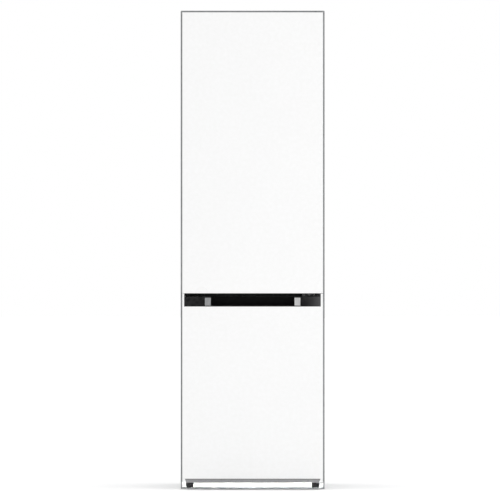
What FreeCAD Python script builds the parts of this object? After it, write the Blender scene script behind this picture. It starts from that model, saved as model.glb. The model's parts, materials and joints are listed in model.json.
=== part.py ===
import FreeCAD, Part
import math
import os
import re
import Sketcher

# Refrigerator with a fridge compartment above and a freezer below, doors hinged on the right.
# Millimetres, +Z up, front towards -Y, origin on the floor under the middle of the cabinet.

driving_sizes = {
    # cabinet
    "cabinet_width": 600,
    "overall_depth": 660,
    "overall_height": 1995,
    "sheet_steel": 0.8,
    "cabinet_edge": 6.6,
    "cabinet_round": 4,
    "frame_depth": 1.6,
    "floor_clearance": 1,
    "base_height": 30,
    "base_sheet": 1.5,
    "kick_setback": 36,
    "kick_wall": 2,
    "machine_depth": 220,
    "machine_height": 290,
    "liner_wall": 1.2,
    "running_gap": 0.3,
    "overrun": 5,
    # fridge compartment
    "fridge_side_wall": 45,
    "fridge_floor": 842,
    "fridge_ceiling_wall": 60,
    "fridge_back_wall": 62,
    "rib_width": 8,
    "rib_height": 7,
    "rib_inset": 20,
    "glass_thickness": 4,
    "glass_side_gap": 1,
    "shelf_setback": 118,
    "shelf_back_gap": 1,
    "top_shelf_space": 250,
    "crisper_cover_rise": 203,
    "crisper_height": 193,
    "crisper_wall": 2.5,
    "crisper_side_gap": 25,
    "crisper_middle_gap": 4,
    "crisper_back_gap": 70,
    "crisper_setback": 108,
    "crisper_grip_depth": 12,
    "crisper_grip_height": 22,
    "duct_width": 180,
    "duct_depth": 14,
    "duct_margin": 30,
    "duct_slot_height": 6,
    "duct_slot_side_wall": 30,
    "duct_slot_pitch": 110,
    "lamp_width": 140,
    "lamp_depth": 90,
    "lamp_height": 7,
    "lamp_setback": 140,
    # freezer compartment
    "freezer_side_wall": 62,
    "freezer_floor": 130,
    "freezer_ceiling_drop": 62,
    "freezer_back_wall": 55,
    "freezer_step_wall": 50,
    "freezer_drawer_top_gap": 10,
    "freezer_drawer_gap": 6,
    "freezer_drawer_setback": 18,
    "freezer_drawer_back_gap": 8,
    "freezer_drawer_wall": 2.5,
    "freezer_front_wall": 5,
    "freezer_grip_width": 160,
    "freezer_grip_height": 24,
    "air_cover_space": 48,
    "air_cover_wall": 2.5,
    "air_slot_width": 240,
    "air_slot_height": 6,
    "air_slot_pitch": 16,
    "evaporator_side_gap": 38,
    "evaporator_depth": 40,
    "evaporator_height": 230,
    "evaporator_rise": 30,
    "fin_thickness": 4,
    "fin_body_depth": 26,
    "inner_fan_drop": 62,
    "inner_fan_radius": 48,
    "inner_fan_depth": 12,
    "fan_hub_radius": 14,
    "fan_blade_thickness": 2.5,
    "fan_front_gap": 4,
    "fan_motor_radius": 20,
    "fan_shaft_radius": 2,
    # machine compartment
    "compressor_radius": 72,
    "compressor_height": 165,
    "compressor_round": 38,
    "compressor_side_inset": 149.2,
    "compressor_foot_length": 190,
    "compressor_foot_width": 110,
    "compressor_foot_sheet": 3,
    "mount_radius": 11,
    "mount_height": 14,
    "mount_inset": 14,
    "tray_sheet": 2,
    "coil_tube_radius": 3,
    "coil_turn_radius": 14,
    "coil_left_inset": 30,
    "coil_right_gap": 94.2,
    "coil_runs": 6,
    "coil_setback": 60,
    "coil_strip_width": 12,
    "coil_strip_thickness": 2,
    "grille_wall": 1.2,
    "grille_slot_height": 8,
    "grille_slot_pitch": 22,
    "grille_slot_side_wall": 90,
    "grille_slot_rise": 40,
    "inlet_width": 50,
    "inlet_height": 34,
    "inlet_depth": 24,
    "inlet_wall": 3,
    "inlet_inset": 36,
    "inlet_rise": 205,
    "control_width": 170,
    "control_depth": 36,
    "control_height": 60,
    "control_inset": 40,
    # feet and rollers
    "foot_side_inset": 38,
    "foot_hole_gap": 2,
    "foot_setback": 16,
    "foot_radius": 14.5,
    "foot_sole_radius": 11,
    "foot_waist_height": 12,
    "foot_height": 24,
    "foot_neck_radius": 10,
    "stem_radius": 5,
    "stem_above_base": 12,
    "roller_radius": 14,
    "roller_width": 16,
    "roller_side_inset": 60,
    "roller_inset": 30,
    "stub_radius": 3,
    "fork_sheet": 2,
    "fork_length": 30,
    "fork_bottom": 8,
    # doors
    "door_side_gap": 7.6,
    "door_thickness": 62,
    "seal_space": 10,
    "door_top_gap": 9.9,
    "door_gap": 13.7,
    "lower_door_top": 803.7,
    "lower_door_bottom": 30.4,
    "door_round": 3,
    "end_cap_height": 25,
    "door_finger_width": 320,
    "door_finger_depth": 22,
    "door_finger_height": 14,
    "door_finger_lip": 14,
    "seal_width": 14,
    "seal_hinge_inset": 4,
    "seal_middle_margin": 6,
    "seal_top_margin": 15,
    "seal_bottom_margin": 19,
    "dyke_width": 12,
    "dyke_depth": 40,
    "dyke_side_gap": 8,
    "dyke_end_gap": 28,
    "bin_depth": 98,
    "bin_height": 80,
    "bin_wall": 2.5,
    "bin_round": 12,
    "first_bin_rise": 45,
    "top_bin_space": 182,
    # grip between the doors
    "handle_cap_height": 41.5,
    "handle_cap_side_inset": 5.9,
    "handle_cap_chamfer": 8,
    "handle_cap_round": 2,
    "grip_side_inset": 112.5,
    "grip_depth": 36,
    "grip_lip_height": 5,
    "grip_lip_depth": 3,
    "grip_plate_width": 24.5,
    "grip_plate_height": 33,
    "grip_plate_rise": 4,
    "grip_plate_thickness": 1.5,
    "handle_cap_setback": 0.5,
    "foot_cap_height": 16.1,
    "foot_cap_side_inset": 10.4,
    "foot_cap_chamfer": 7,
    # centre beam and hinges
    "beam_cover_side_inset": 8.4,
    "beam_cover_height": 18.6,
    "beam_cover_depth": 2,
    "hinge_inset": 12.4,
    "hinge_setback": 30,
    "hinge_plate": 3,
    "hinge_arm_width": 28,
    "hinge_flange_height": 18,
    "centre_flange_length": 88,
    "end_flange_length": 38,
    "end_flange_height": 14,
    "pin_radius": 4,
    "pin_length": 15,
    "short_pin_length": 12,
    "pin_clearance": 0.1,
    "screw_head_radius": 4,
    "screw_head_height": 2,
    "screw_shank_radius": 2,
    "screw_inset": 9,
}

derived_places = {
    "half_width": "cabinet_width / 2",
    "door_front": "-overall_depth / 2",
    "cabinet_back": "overall_depth / 2",
    "door_back": "door_front + door_thickness",
    "face_front": "door_back + seal_space",
    "face_back": "face_front + frame_depth",
    "frame_half": "half_width - cabinet_edge",
    "frame_top": "overall_height - cabinet_edge",
    "inner_half": "half_width - sheet_steel",
    "base_top": "base_height + base_sheet",
    "machine_front": "cabinet_back - machine_depth",
    "kick_front": "face_front + kick_setback",
    "fridge_half": "half_width - fridge_side_wall",
    "fridge_top": "overall_height - fridge_ceiling_wall",
    "fridge_back": "cabinet_back - fridge_back_wall",
    "freezer_half": "half_width - freezer_side_wall",
    "freezer_top": "fridge_floor - freezer_ceiling_drop",
    "freezer_back": "cabinet_back - freezer_back_wall",
    "step_front": "machine_front - freezer_step_wall",
    "step_top": "machine_height + freezer_step_wall",
    "shelf_front": "face_front + shelf_setback",
    "shelf_back": "fridge_back - duct_depth - shelf_back_gap",
    "glass_half": "fridge_half - glass_side_gap",
    "crisper_front": "face_front + crisper_setback",
    "crisper_back": "fridge_back - crisper_back_gap",
    "crisper_cover": "fridge_floor + crisper_cover_rise",
    "shelf_pitch": "(fridge_top - top_shelf_space - crisper_cover) / 3",
    "air_cover_front": "freezer_back - air_cover_space",
    "air_cover_back": "air_cover_front + air_cover_wall",
    "freezer_drawer_front": "face_front + freezer_drawer_setback",
    "freezer_drawer_half": "freezer_half - freezer_drawer_gap",
    "first_freezer_shelf": "step_top",
    "second_freezer_shelf": "(first_freezer_shelf + freezer_top) / 2",
    "evaporator_half": "freezer_half - evaporator_side_gap",
    "inner_fan_height": "freezer_top - inner_fan_drop",
    "inner_fan_y": "air_cover_back + fan_front_gap + inner_fan_depth / 2",
    "tray_bottom": "base_height",
    "tray_top": "tray_bottom + tray_sheet",
    "machine_ceiling": "machine_height - base_sheet",
    "compressor_x": "inner_half - compressor_side_inset",
    "compressor_y": "cabinet_back - machine_depth / 2",
    "compressor_foot": "tray_top + mount_height",
    "coil_left": "-inner_half + coil_left_inset",
    "coil_right": "compressor_x - compressor_foot_length / 2 - coil_right_gap",
    "roller_x": "half_width - roller_side_inset",
    "roller_y": "cabinet_back - roller_inset",
    "foot_x": "half_width - foot_side_inset",
    "foot_y": "face_front + foot_setback",
    "door_half": "half_width - door_side_gap",
    "door_top": "overall_height - door_top_gap",
    "upper_door_bottom": "lower_door_top + door_gap",
    "lower_panel_top": "lower_door_top - handle_cap_height",
    "lower_panel_bottom": "lower_door_bottom + foot_cap_height",
    "door_skin_back": "door_front + sheet_steel",
    "door_core_half": "door_half - sheet_steel",
    "door_core_back": "door_back - liner_wall",
    "hinge_x": "door_half - hinge_inset",
    "hinge_y": "door_front + hinge_setback",
    "seal_half": "hinge_x - seal_hinge_inset",
    "dyke_half": "fridge_half - dyke_side_gap",
    "bin_half": "dyke_half - dyke_width - running_gap",
    "bin_front": "door_back + running_gap",
    "first_bin": "fridge_floor + first_bin_rise",
    "bin_pitch": "(fridge_top - top_bin_space - bin_height - first_bin) / 3",
    "cap_front": "door_front + handle_cap_setback",
    "handle_cap_half": "door_half - handle_cap_side_inset",
    "foot_cap_half": "door_half - foot_cap_side_inset",
    "grip_half": "handle_cap_half - grip_side_inset",
    "beam_height": "lower_door_top + door_gap / 2",
    "bore_radius": "pin_radius + pin_clearance",
    "centre_arm_bottom": "beam_height - hinge_plate / 2",
    "centre_arm_top": "beam_height + hinge_plate / 2",
    "top_arm_bottom": "door_top + running_gap * 4",
    "bottom_arm_top": "lower_door_bottom - running_gap * 2",
    "flange_right": "hinge_x + hinge_arm_width / 2",
    "flange_front": "face_front - hinge_plate",
}

doc = FreeCAD.newDocument("Refrigerator")
owners = {}
nodes = []


def bound(text, inside=""):
    """The expression with each named size given its sheet."""
    def owned(word):
        sheet = owners.get(word[0], inside)
        return word[0] if sheet == inside else f"{sheet}.{word[0]}"
    return re.sub(r"[a-z]\w*", owned, str(text))


def fill(name, rows, mark):
    sheet = doc.addObject("Spreadsheet::Sheet", name)
    for number, (alias, content) in enumerate(rows.items(), 1):
        sheet.set(f"A{number}", alias)
        sheet.set(f"B{number}", mark + bound(content, name))
        sheet.setAlias(f"B{number}", alias)
        owners[alias] = name
    doc.recompute()
    return sheet


sizes = fill("Sizes", driving_sizes, "")
places = fill("Places", derived_places, "=")


def value(text):
    return float(places.evalExpression(bound(text)))


# Bodies, sketches and features

def begin(label):
    body = doc.addObject("PartDesign::Body", label)
    body.Label = label
    nodes.append(body)
    return body


def move(item, x="0", y="0", z="0"):
    for axis, place in zip("xyz", (x, y, z)):
        item.setExpression(f"Placement.Base.{axis}", bound(place))


def origin_part(body, role):
    return next(part for part in body.Origin.OriginFeatures if part.Role == role)


def sketch_on(body, plane, low, high):
    """A sketch on an origin plane, set where a feature along +X, +Y or +Z starts.

    The normal of the XZ plane points to -Y, so its sketch stands at the far end.
    """
    sketch = body.newObject("Sketcher::SketchObject", "Outline")
    sketch.AttachmentSupport = [(origin_part(body, f"{plane}_Plane"), "")]
    sketch.MapMode = "FlatFace"
    start = f"-({high})" if plane == "XZ" else low
    sketch.setExpression("AttachmentOffset.Base.z", bound(start))
    return sketch


def draw_lines(sketch, points):
    count = len(points)
    corners = [FreeCAD.Vector(value(across), value(along), 0) for across, along in points]
    for number in range(count):
        sketch.addGeometry(Part.LineSegment(corners[number], corners[(number + 1) % count]))
    for number in range(count):
        sketch.addConstraint(Sketcher.Constraint("Coincident", number, 2, (number + 1) % count, 1))
    for number, (point, corner) in enumerate(zip(points, corners)):
        for kind, text, length in zip(("DistanceX", "DistanceY"), point, (corner.x, corner.y)):
            index = sketch.addConstraint(Sketcher.Constraint(kind, -1, 1, number, 1, length))
            sketch.setExpression(f"Constraints[{index}]", bound(text))


def draw_circle(sketch, across, along, radius):
    centre = FreeCAD.Vector(value(across), value(along), 0)
    sketch.addGeometry(Part.Circle(centre, FreeCAD.Vector(0, 0, 1), value(radius)))
    rules = (
        (Sketcher.Constraint("DistanceX", -1, 1, 0, 3, centre.x), across),
        (Sketcher.Constraint("DistanceY", -1, 1, 0, 3, centre.y), along),
        (Sketcher.Constraint("Radius", 0, value(radius)), radius),
    )
    for rule, text in rules:
        index = sketch.addConstraint(rule)
        sketch.setExpression(f"Constraints[{index}]", bound(text))


def draw(sketch, shape):
    if len(shape) == 3 and isinstance(shape[0], str):
        draw_circle(sketch, *shape)
    else:
        draw_lines(sketch, shape)


def pad(body, plane, shape, low, high):
    sketch = sketch_on(body, plane, low, high)
    draw(sketch, shape)
    feature = body.newObject("PartDesign::Pad", "Pad")
    feature.Profile = sketch
    feature.setExpression("Length", bound(f"({high}) - ({low})"))
    sketch.Visibility = False
    return feature


def cut(body, plane, shape, low, high):
    sketch = sketch_on(body, plane, low, high)
    draw(sketch, shape)
    feature = body.newObject("PartDesign::Pocket", "Pocket")
    feature.Profile = sketch
    feature.Reversed = True
    feature.setExpression("Length", bound(f"({high}) - ({low})"))
    sketch.Visibility = False
    return feature


def repeat(body, feature, role, length, count):
    pattern = body.newObject("PartDesign::LinearPattern", "Row")
    pattern.Originals = [feature]
    pattern.Direction = (origin_part(body, role), [""])
    pattern.setExpression("Length", bound(length))
    pattern.Occurrences = count
    body.Tip = pattern
    return pattern


def turn(body, points):
    """Turned about +Z from points of (radius, height)."""
    sketch = sketch_on(body, "XZ", "0", "0")
    draw_lines(sketch, points)
    feature = body.newObject("PartDesign::Revolution", "Turned")
    feature.Profile = sketch
    feature.ReferenceAxis = (sketch, ["V_Axis"])
    feature.Angle = 360
    return feature


def edges_where(shape, wanted):
    return [f"Edge{number}" for number, edge in enumerate(shape.Edges, 1) if wanted(edge)]


def along(edge, axis):
    return abs(getattr(edge.tangentAt(edge.FirstParameter), axis)) > math.cos(math.radians(1))


def dress(body, kind, wanted, size):
    """Fillet or Chamfer on the edges that a test picks from the body's last feature."""
    doc.recompute()
    base = body.Tip
    feature = body.newObject(f"PartDesign::{kind}", kind)
    feature.Base = (base, edges_where(base.Shape, wanted))
    feature.setExpression("Radius" if kind == "Fillet" else "Size", bound(size))
    return feature


def rect(low_across, high_across, low_along, high_along):
    return [
        (low_across, low_along),
        (high_across, low_along),
        (high_across, high_along),
        (low_across, high_along),
    ]


def wide(half, low_along, high_along):
    return rect(f"-({half})", half, low_along, high_along)


def roofed(half, low, high):
    """A rectangle with its two upper corners cut off, to pass under the cabinet's rounded edges."""
    corner = "(cabinet_round - sheet_steel)"
    return [
        (f"-({half})", low),
        (half, low),
        (half, f"{high} - {corner}"),
        (f"{half} - {corner}", high),
        (f"-({half} - {corner})", high),
        (f"-({half})", f"{high} - {corner}"),
    ]


def block(label, x, y, z):
    body = begin(label)
    pad(body, "XY", rect(x[0], x[1], y[0], y[1]), z[0], z[1])
    return body


def primitive_box(x, y, z):
    box = doc.addObject("Part::Box", "Block")
    for side, (low, high) in zip(("Length", "Width", "Height"), (x, y, z)):
        box.setExpression(side, bound(f"({high}) - ({low})"))
    move(box, x[0], y[0], z[0])
    return box


def primitive_rod(x, y, z, radius, length, to_front=False):
    rod = doc.addObject("Part::Cylinder", "Rod")
    rod.setExpression("Radius", bound(radius))
    rod.setExpression("Height", bound(length))
    if to_front:
        rod.Placement.Rotation = FreeCAD.Rotation(FreeCAD.Vector(1, 0, 0), 90)
    move(rod, x, y, z)
    return rod


def group(label, items):
    compound = doc.addObject("Part::Compound", label)
    compound.Label = label
    compound.Links = items
    nodes.append(compound)
    return compound


# Cabinet

def side_panel(label, side):
    body = begin(label)
    profile = [
        (f"{side} * half_width", "face_front"),
        (f"{side} * half_width", "cabinet_back"),
        (f"{side} * inner_half", "cabinet_back"),
        (f"{side} * inner_half", "face_front + sheet_steel"),
        (f"{side} * frame_half", "face_front + sheet_steel"),
        (f"{side} * frame_half", "face_front"),
    ]
    pad(body, "XY", profile, "floor_clearance", "frame_top")


def top_panel():
    body = begin("top_panel")
    pad(body, "XY", wide("half_width", "face_front", "cabinet_back"), "frame_top", "overall_height")
    dress(
        body, "Fillet",
        lambda edge: along(edge, "y") and edge.CenterOfMass.z > value("frame_top + cabinet_round"),
        "cabinet_round",
    )
    hollow = roofed("inner_half", "frame_top - overrun", "overall_height - sheet_steel")
    cut(body, "XZ", hollow, "face_front + sheet_steel", "cabinet_back + overrun")


def face_frame():
    body = begin("face_frame")
    pad(body, "XZ", wide("frame_half", "base_height", "frame_top"), "face_front", "face_back")
    cut(body, "XZ", wide("fridge_half", "fridge_floor", "fridge_top"), "face_front", "face_back")
    cut(body, "XZ", wide("freezer_half", "freezer_floor", "freezer_top"), "face_front", "face_back")


def freezer_outline(grow):
    """Side outline of the freezer space, with the step over the machine compartment."""
    return [
        ("face_back - overrun", f"freezer_floor - {grow}"),
        (f"step_front + {grow}", f"freezer_floor - {grow}"),
        (f"step_front + {grow}", f"step_top - {grow}"),
        (f"freezer_back + {grow}", f"step_top - {grow}"),
        (f"freezer_back + {grow}", f"freezer_top + {grow}"),
        ("face_back - overrun", f"freezer_top + {grow}"),
    ]


def cabinet_foam():
    body = begin("cabinet_foam")
    side = [
        ("face_back", "base_top"),
        ("machine_front", "base_top"),
        ("machine_front", "machine_height"),
        ("cabinet_back - sheet_steel", "machine_height"),
        ("cabinet_back - sheet_steel", "overall_height - sheet_steel"),
        ("face_back", "overall_height - sheet_steel"),
    ]
    pad(body, "YZ", side, "-inner_half", "inner_half")
    dress(
        body, "Chamfer",
        lambda edge: along(edge, "y") and edge.CenterOfMass.z > value("frame_top + cabinet_round"),
        "cabinet_round - sheet_steel",
    )
    fridge = wide("fridge_half + liner_wall", "fridge_floor - liner_wall", "fridge_top + liner_wall")
    cut(body, "XZ", fridge, "face_back - overrun", "fridge_back + liner_wall")
    half = "freezer_half + liner_wall"
    cut(body, "YZ", freezer_outline("liner_wall"), f"-({half})", half)
    for side_share in ("-1", "1"):
        hole = (f"{side_share} * foot_x", "foot_y", "stem_radius + foot_hole_gap")
        cut(body, "XY", hole, "base_top - overrun", "base_top + stem_above_base + running_gap")


def fridge_liner():
    body = begin("fridge_liner")
    outer = wide("fridge_half + liner_wall", "fridge_floor - liner_wall", "fridge_top + liner_wall")
    pad(body, "XZ", outer, "face_back", "fridge_back + liner_wall")
    inner = wide("fridge_half", "fridge_floor", "fridge_top")
    cut(body, "XZ", inner, "face_back - overrun", "fridge_back")
    for level in shelf_levels:
        for side in ("-1", "1"):
            rib = [
                (f"{side} * (fridge_half - rib_width)", f"{level} - rib_height / 2"),
                (f"{side} * (fridge_half - rib_width)", level),
                (f"{side} * (fridge_half + liner_wall / 2)", level),
                (f"{side} * (fridge_half + liner_wall / 2)", f"{level} - rib_height"),
            ]
            pad(body, "XZ", rib, "shelf_front + rib_inset", "shelf_back")


def freezer_liner():
    body = begin("freezer_liner")
    outer = freezer_outline("liner_wall")
    half = "freezer_half + liner_wall"
    pad(body, "YZ", outer, f"-({half})", half)
    front = wide("half_width", "0", "overall_height")
    cut(body, "XZ", front, "face_back - overrun * 2", "face_back")
    cut(body, "YZ", freezer_outline("0"), "-freezer_half", "freezer_half")
    for level in ("first_freezer_shelf", "second_freezer_shelf"):
        for side in ("-1", "1"):
            rib = [
                (f"{side} * (freezer_half - rib_width)", f"{level} - rib_height / 2"),
                (f"{side} * (freezer_half - rib_width)", level),
                (f"{side} * (freezer_half + liner_wall / 2)", level),
                (f"{side} * (freezer_half + liner_wall / 2)", f"{level} - rib_height"),
            ]
            pad(body, "XZ", rib, "freezer_drawer_front + rib_inset", "step_front")


def rear_panel():
    body = begin("rear_panel")
    outline = roofed("inner_half", "machine_height", "overall_height - sheet_steel")
    pad(body, "XZ", outline, "cabinet_back - sheet_steel", "cabinet_back")


def base_plate():
    """Bent sheet under the foam, which also walls off the machine compartment."""
    body = begin("base_plate")
    profile = [
        ("face_back", "base_height"),
        ("machine_front + base_sheet", "base_height"),
        ("machine_front + base_sheet", "machine_ceiling"),
        ("cabinet_back - sheet_steel", "machine_ceiling"),
        ("cabinet_back - sheet_steel", "machine_height"),
        ("machine_front", "machine_height"),
        ("machine_front", "base_top"),
        ("face_back", "base_top"),
    ]
    pad(body, "YZ", profile, "-inner_half", "inner_half")
    for side in ("-1", "1"):
        hole = (f"{side} * foot_x", "foot_y", "stem_radius + pin_clearance")
        cut(body, "XY", hole, "base_height - overrun", "base_top")


def base_rail():
    body = begin("base_rail")
    flange_top = "floor_clearance + sheet_steel"
    profile = [
        ("face_front", "floor_clearance"),
        ("kick_front + kick_wall", "floor_clearance"),
        ("kick_front + kick_wall", flange_top),
        ("face_front + sheet_steel", flange_top),
        ("face_front + sheet_steel", "cabinet_edge"),
        ("face_front", "cabinet_edge"),
    ]
    pad(body, "YZ", profile, "-frame_half", "frame_half")
    for side in ("-1", "1"):
        hole = (f"{side} * foot_x", "foot_y", "foot_radius + running_gap * 2")
        cut(body, "XY", hole, "floor_clearance - overrun", flange_top)


def kick_plate():
    z = ("floor_clearance + sheet_steel", "base_height")
    block("kick_plate", ("-inner_half", "inner_half"), ("kick_front", "kick_front + kick_wall"), z)


def beam_cover():
    """Black strip on the middle beam, cut back where the centre hinge is screwed on."""
    half_height = "beam_cover_height / 2"
    x = ("-(frame_half - beam_cover_side_inset)", "flange_right - centre_flange_length - running_gap")
    y = ("face_front - beam_cover_depth", "face_front")
    block("beam_cover", x, y, (f"beam_height - {half_height}", f"beam_height + {half_height}"))


# Hinges

def hinge_bracket(label, flange_length, flange_low, flange_high, arm_low, arm_high):
    body = begin(label)
    left = f"flange_right - {flange_length}"
    pad(body, "XZ", rect(left, "flange_right", flange_low, flange_high), "flange_front", "face_front")
    arm = rect(
        "hinge_x - hinge_arm_width / 2", "flange_right", "hinge_y - hinge_arm_width / 2", "face_front")
    pad(body, "XY", arm, arm_low, arm_high)
    dress(
        body, "Fillet",
        lambda edge: along(edge, "z") and edge.CenterOfMass.y < value("hinge_y"),
        "hinge_arm_width / 2 - running_gap",
    )
    return body


def screw_places(flange_length, count):
    step = f"({flange_length} - 2 * screw_inset - hinge_arm_width)"
    start = f"flange_right - {flange_length} + screw_inset"
    return [f"{start} + {step} * {number} / {max(count - 1, 1)}" for number in range(count)]


def drill_flange(body, spots, level):
    for spot in spots:
        hole = (spot, level, "screw_shank_radius + running_gap")
        cut(body, "XZ", hole, "flange_front - overrun", "face_front")


def hinges():
    pin = ("hinge_x", "hinge_y", "pin_radius")
    centre_spots = screw_places("centre_flange_length", 3)
    centre = hinge_bracket(
        "centre_hinge", "centre_flange_length",
        "beam_height - hinge_flange_height / 2", "beam_height + hinge_flange_height / 2",
        "centre_arm_bottom", "centre_arm_top")
    pad(centre, "XY", pin, "lower_door_top - pin_length", "upper_door_bottom + pin_length")
    drill_flange(centre, centre_spots, "beam_height")

    end_spots = screw_places("end_flange_length", 1)
    top_level = "top_arm_bottom - end_flange_height / 2"
    top = hinge_bracket(
        "top_hinge", "end_flange_length",
        "top_arm_bottom - end_flange_height", "top_arm_bottom + hinge_plate",
        "top_arm_bottom", "top_arm_bottom + hinge_plate")
    pad(top, "XY", pin, "door_top - pin_length", "top_arm_bottom + hinge_plate")
    drill_flange(top, end_spots, top_level)

    bottom_level = "bottom_arm_top + end_flange_height / 2"
    bottom = hinge_bracket(
        "bottom_hinge", "end_flange_length",
        "bottom_arm_top", "bottom_arm_top + end_flange_height",
        "bottom_arm_top - hinge_plate", "bottom_arm_top")
    pad(bottom, "XY", pin, "bottom_arm_top - hinge_plate", "lower_door_bottom + short_pin_length")
    drill_flange(bottom, end_spots, bottom_level)

    screws = []
    seats = [(spot, "beam_height") for spot in centre_spots]
    seats += [(spot, top_level) for spot in end_spots]
    seats += [(spot, bottom_level) for spot in end_spots]
    for spot, level in seats:
        head = primitive_rod(spot, "flange_front", level, "screw_head_radius", "screw_head_height", True)
        shank = primitive_rod(spot, "face_front", level, "screw_shank_radius", "hinge_plate", True)
        screw = doc.addObject("Part::Fuse", "Screw")
        screw.Base = head
        screw.Tool = shank
        screws.append(screw)
    group("hinge_screws", screws)


# Doors

def door_skin(label, low, high):
    """Steel skin folded back at both sides, open at the ends and at the back."""
    body = begin(label)
    pad(body, "XY", wide("door_half", "door_front", "door_core_back"), low, high)
    dress(
        body, "Fillet",
        lambda edge: along(edge, "z") and edge.CenterOfMass.y < value("door_front + door_round"),
        "door_round",
    )
    doc.recompute()
    solid = body.Tip
    ends = (value(low), value(high))
    open_faces = [
        f"Face{number}"
        for number, face in enumerate(solid.Shape.Faces, 1)
        if min(abs(face.CenterOfMass.z - end) for end in ends) < value("running_gap")
        or abs(face.CenterOfMass.y - value("door_core_back")) < value("running_gap")
    ]
    skin = body.newObject("PartDesign::Thickness", "Skin")
    skin.Base = (solid, open_faces)
    skin.Reversed = True
    skin.setExpression("Value", bound("sheet_steel"))


def door_plug(body, low, high):
    """Core piece that fits inside the steel skin, with the skin's rounded front corners."""
    pad(body, "XY", wide("door_core_half", "door_skin_back", "door_core_back"), low, high)
    dress(
        body, "Fillet",
        lambda edge: along(edge, "z") and edge.CenterOfMass.y < value("door_skin_back + door_round"),
        "door_round - sheet_steel",
    )


def pin_bore(body, low, high):
    cut(body, "XY", ("hinge_x", "hinge_y", "bore_radius"), low, high)


def seal(label, low, high):
    body = begin(label)
    y = ("door_back", "face_front - running_gap")
    pad(body, "XZ", wide("seal_half", low, high), *y)
    inner = wide("seal_half - seal_width", f"{low} + seal_width", f"{high} - seal_width")
    cut(body, "XZ", inner, *y)


def upper_door():
    door_skin("upper_door_panel", "upper_door_bottom", "door_top")
    bottom_cap = begin("upper_door_bottom_cap")
    door_plug(bottom_cap, "upper_door_bottom", "upper_door_bottom + end_cap_height")
    pin_bore(bottom_cap, "upper_door_bottom - overrun", "upper_door_bottom + pin_length + pin_clearance")
    finger = wide(
        "door_finger_width / 2", "door_skin_back + door_finger_lip",
        "door_skin_back + door_finger_lip + door_finger_depth")
    cut(bottom_cap, "XY", finger, "upper_door_bottom - overrun", "upper_door_bottom + door_finger_height")
    top_cap = begin("upper_door_top_cap")
    door_plug(top_cap, "door_top - end_cap_height", "door_top")
    pin_bore(top_cap, "door_top - pin_length - pin_clearance", "door_top + overrun")
    foam = begin("upper_door_foam")
    door_plug(foam, "upper_door_bottom + end_cap_height", "door_top - end_cap_height")

    liner = begin("upper_door_liner")
    plate = wide("door_half", "upper_door_bottom", "door_top")
    pad(liner, "XZ", plate, "door_core_back", "door_back")
    for side in ("-1", "1"):
        dyke = [
            (f"{side} * dyke_half", "door_core_back"),
            (f"{side} * (dyke_half - dyke_width)", "door_core_back"),
            (f"{side} * (dyke_half - dyke_width)", "door_back + dyke_depth"),
            (f"{side} * (dyke_half - dyke_width / 3)", "door_back + dyke_depth"),
        ]
        pad(liner, "XY", dyke, "fridge_floor + dyke_end_gap", "fridge_top - dyke_end_gap")
    seal("upper_door_seal", "upper_door_bottom + seal_middle_margin", "door_top - seal_top_margin")


def lower_door():
    door_skin("lower_door_panel", "lower_panel_bottom", "lower_panel_top")
    foam = begin("lower_door_foam")
    door_plug(foam, "lower_panel_bottom", "lower_panel_top")
    liner = begin("lower_door_liner")
    plate = wide("door_half", "lower_door_bottom", "lower_door_top")
    pad(liner, "XZ", plate, "door_core_back", "door_back")
    seal("lower_door_seal", "lower_door_bottom + seal_bottom_margin", "lower_door_top - seal_middle_margin")
    handle_cap()
    foot_cap()
    grip_plates()


def handle_cap():
    """Black cap on the lower door, with the long hollow for the fingers in its middle."""
    body = begin("handle_cap")
    half = "handle_cap_half"
    profile = [
        (f"-({half})", "lower_panel_top"),
        (half, "lower_panel_top"),
        (half, "lower_door_top - handle_cap_chamfer"),
        (f"{half} - handle_cap_chamfer", "lower_door_top"),
        (f"-({half} - handle_cap_chamfer)", "lower_door_top"),
        (f"-({half})", "lower_door_top - handle_cap_chamfer"),
    ]
    pad(body, "XZ", profile, "cap_front", "door_core_back")
    dress(
        body, "Fillet",
        lambda edge: along(edge, "x") and edge.CenterOfMass.y < value("cap_front + sheet_steel")
        and edge.CenterOfMass.z > value("lower_panel_top + handle_cap_chamfer"),
        "handle_cap_round",
    )
    lip_top = "lower_panel_top + grip_lip_height"
    hollow = wide("grip_half", "cap_front + grip_lip_depth", "cap_front + grip_depth")
    cut(body, "XY", hollow, lip_top, "lower_door_top + overrun")
    mouth = wide("grip_half", "door_front - overrun", "cap_front + grip_lip_depth")
    cut(body, "XY", mouth, lip_top, "lower_door_top + overrun")
    plate_low = "lower_panel_top + grip_plate_rise"
    seat = rect("grip_half", "grip_half + grip_plate_width", plate_low, f"{plate_low} + grip_plate_height")
    depth = "door_front + grip_plate_thickness"
    cut(body, "XZ", seat, "door_front - overrun", depth)
    cut(body, "XZ", [(f"-({across})", height) for across, height in seat], "door_front - overrun", depth)
    pin_bore(body, "lower_door_top - pin_length - pin_clearance", "lower_door_top + overrun")


def grip_plates():
    low = "lower_panel_top + grip_plate_rise"
    y = ("door_front", "door_front + grip_plate_thickness")
    z = (low, f"{low} + grip_plate_height")
    right = primitive_box(("grip_half", "grip_half + grip_plate_width"), y, z)
    left = primitive_box(("-(grip_half + grip_plate_width)", "-grip_half"), y, z)
    group("grip_plates", [left, right])


def foot_cap():
    """Grey cap under the lower door, drawn in at its lower corners."""
    body = begin("foot_cap")
    half = "foot_cap_half"
    profile = [
        (f"-({half} - foot_cap_chamfer)", "lower_door_bottom"),
        (f"{half} - foot_cap_chamfer", "lower_door_bottom"),
        (half, "lower_panel_bottom"),
        (f"-({half})", "lower_panel_bottom"),
    ]
    pad(body, "XZ", profile, "door_front", "door_core_back")
    pin_bore(body, "lower_door_bottom - overrun", "lower_door_bottom + short_pin_length + pin_clearance")


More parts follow.
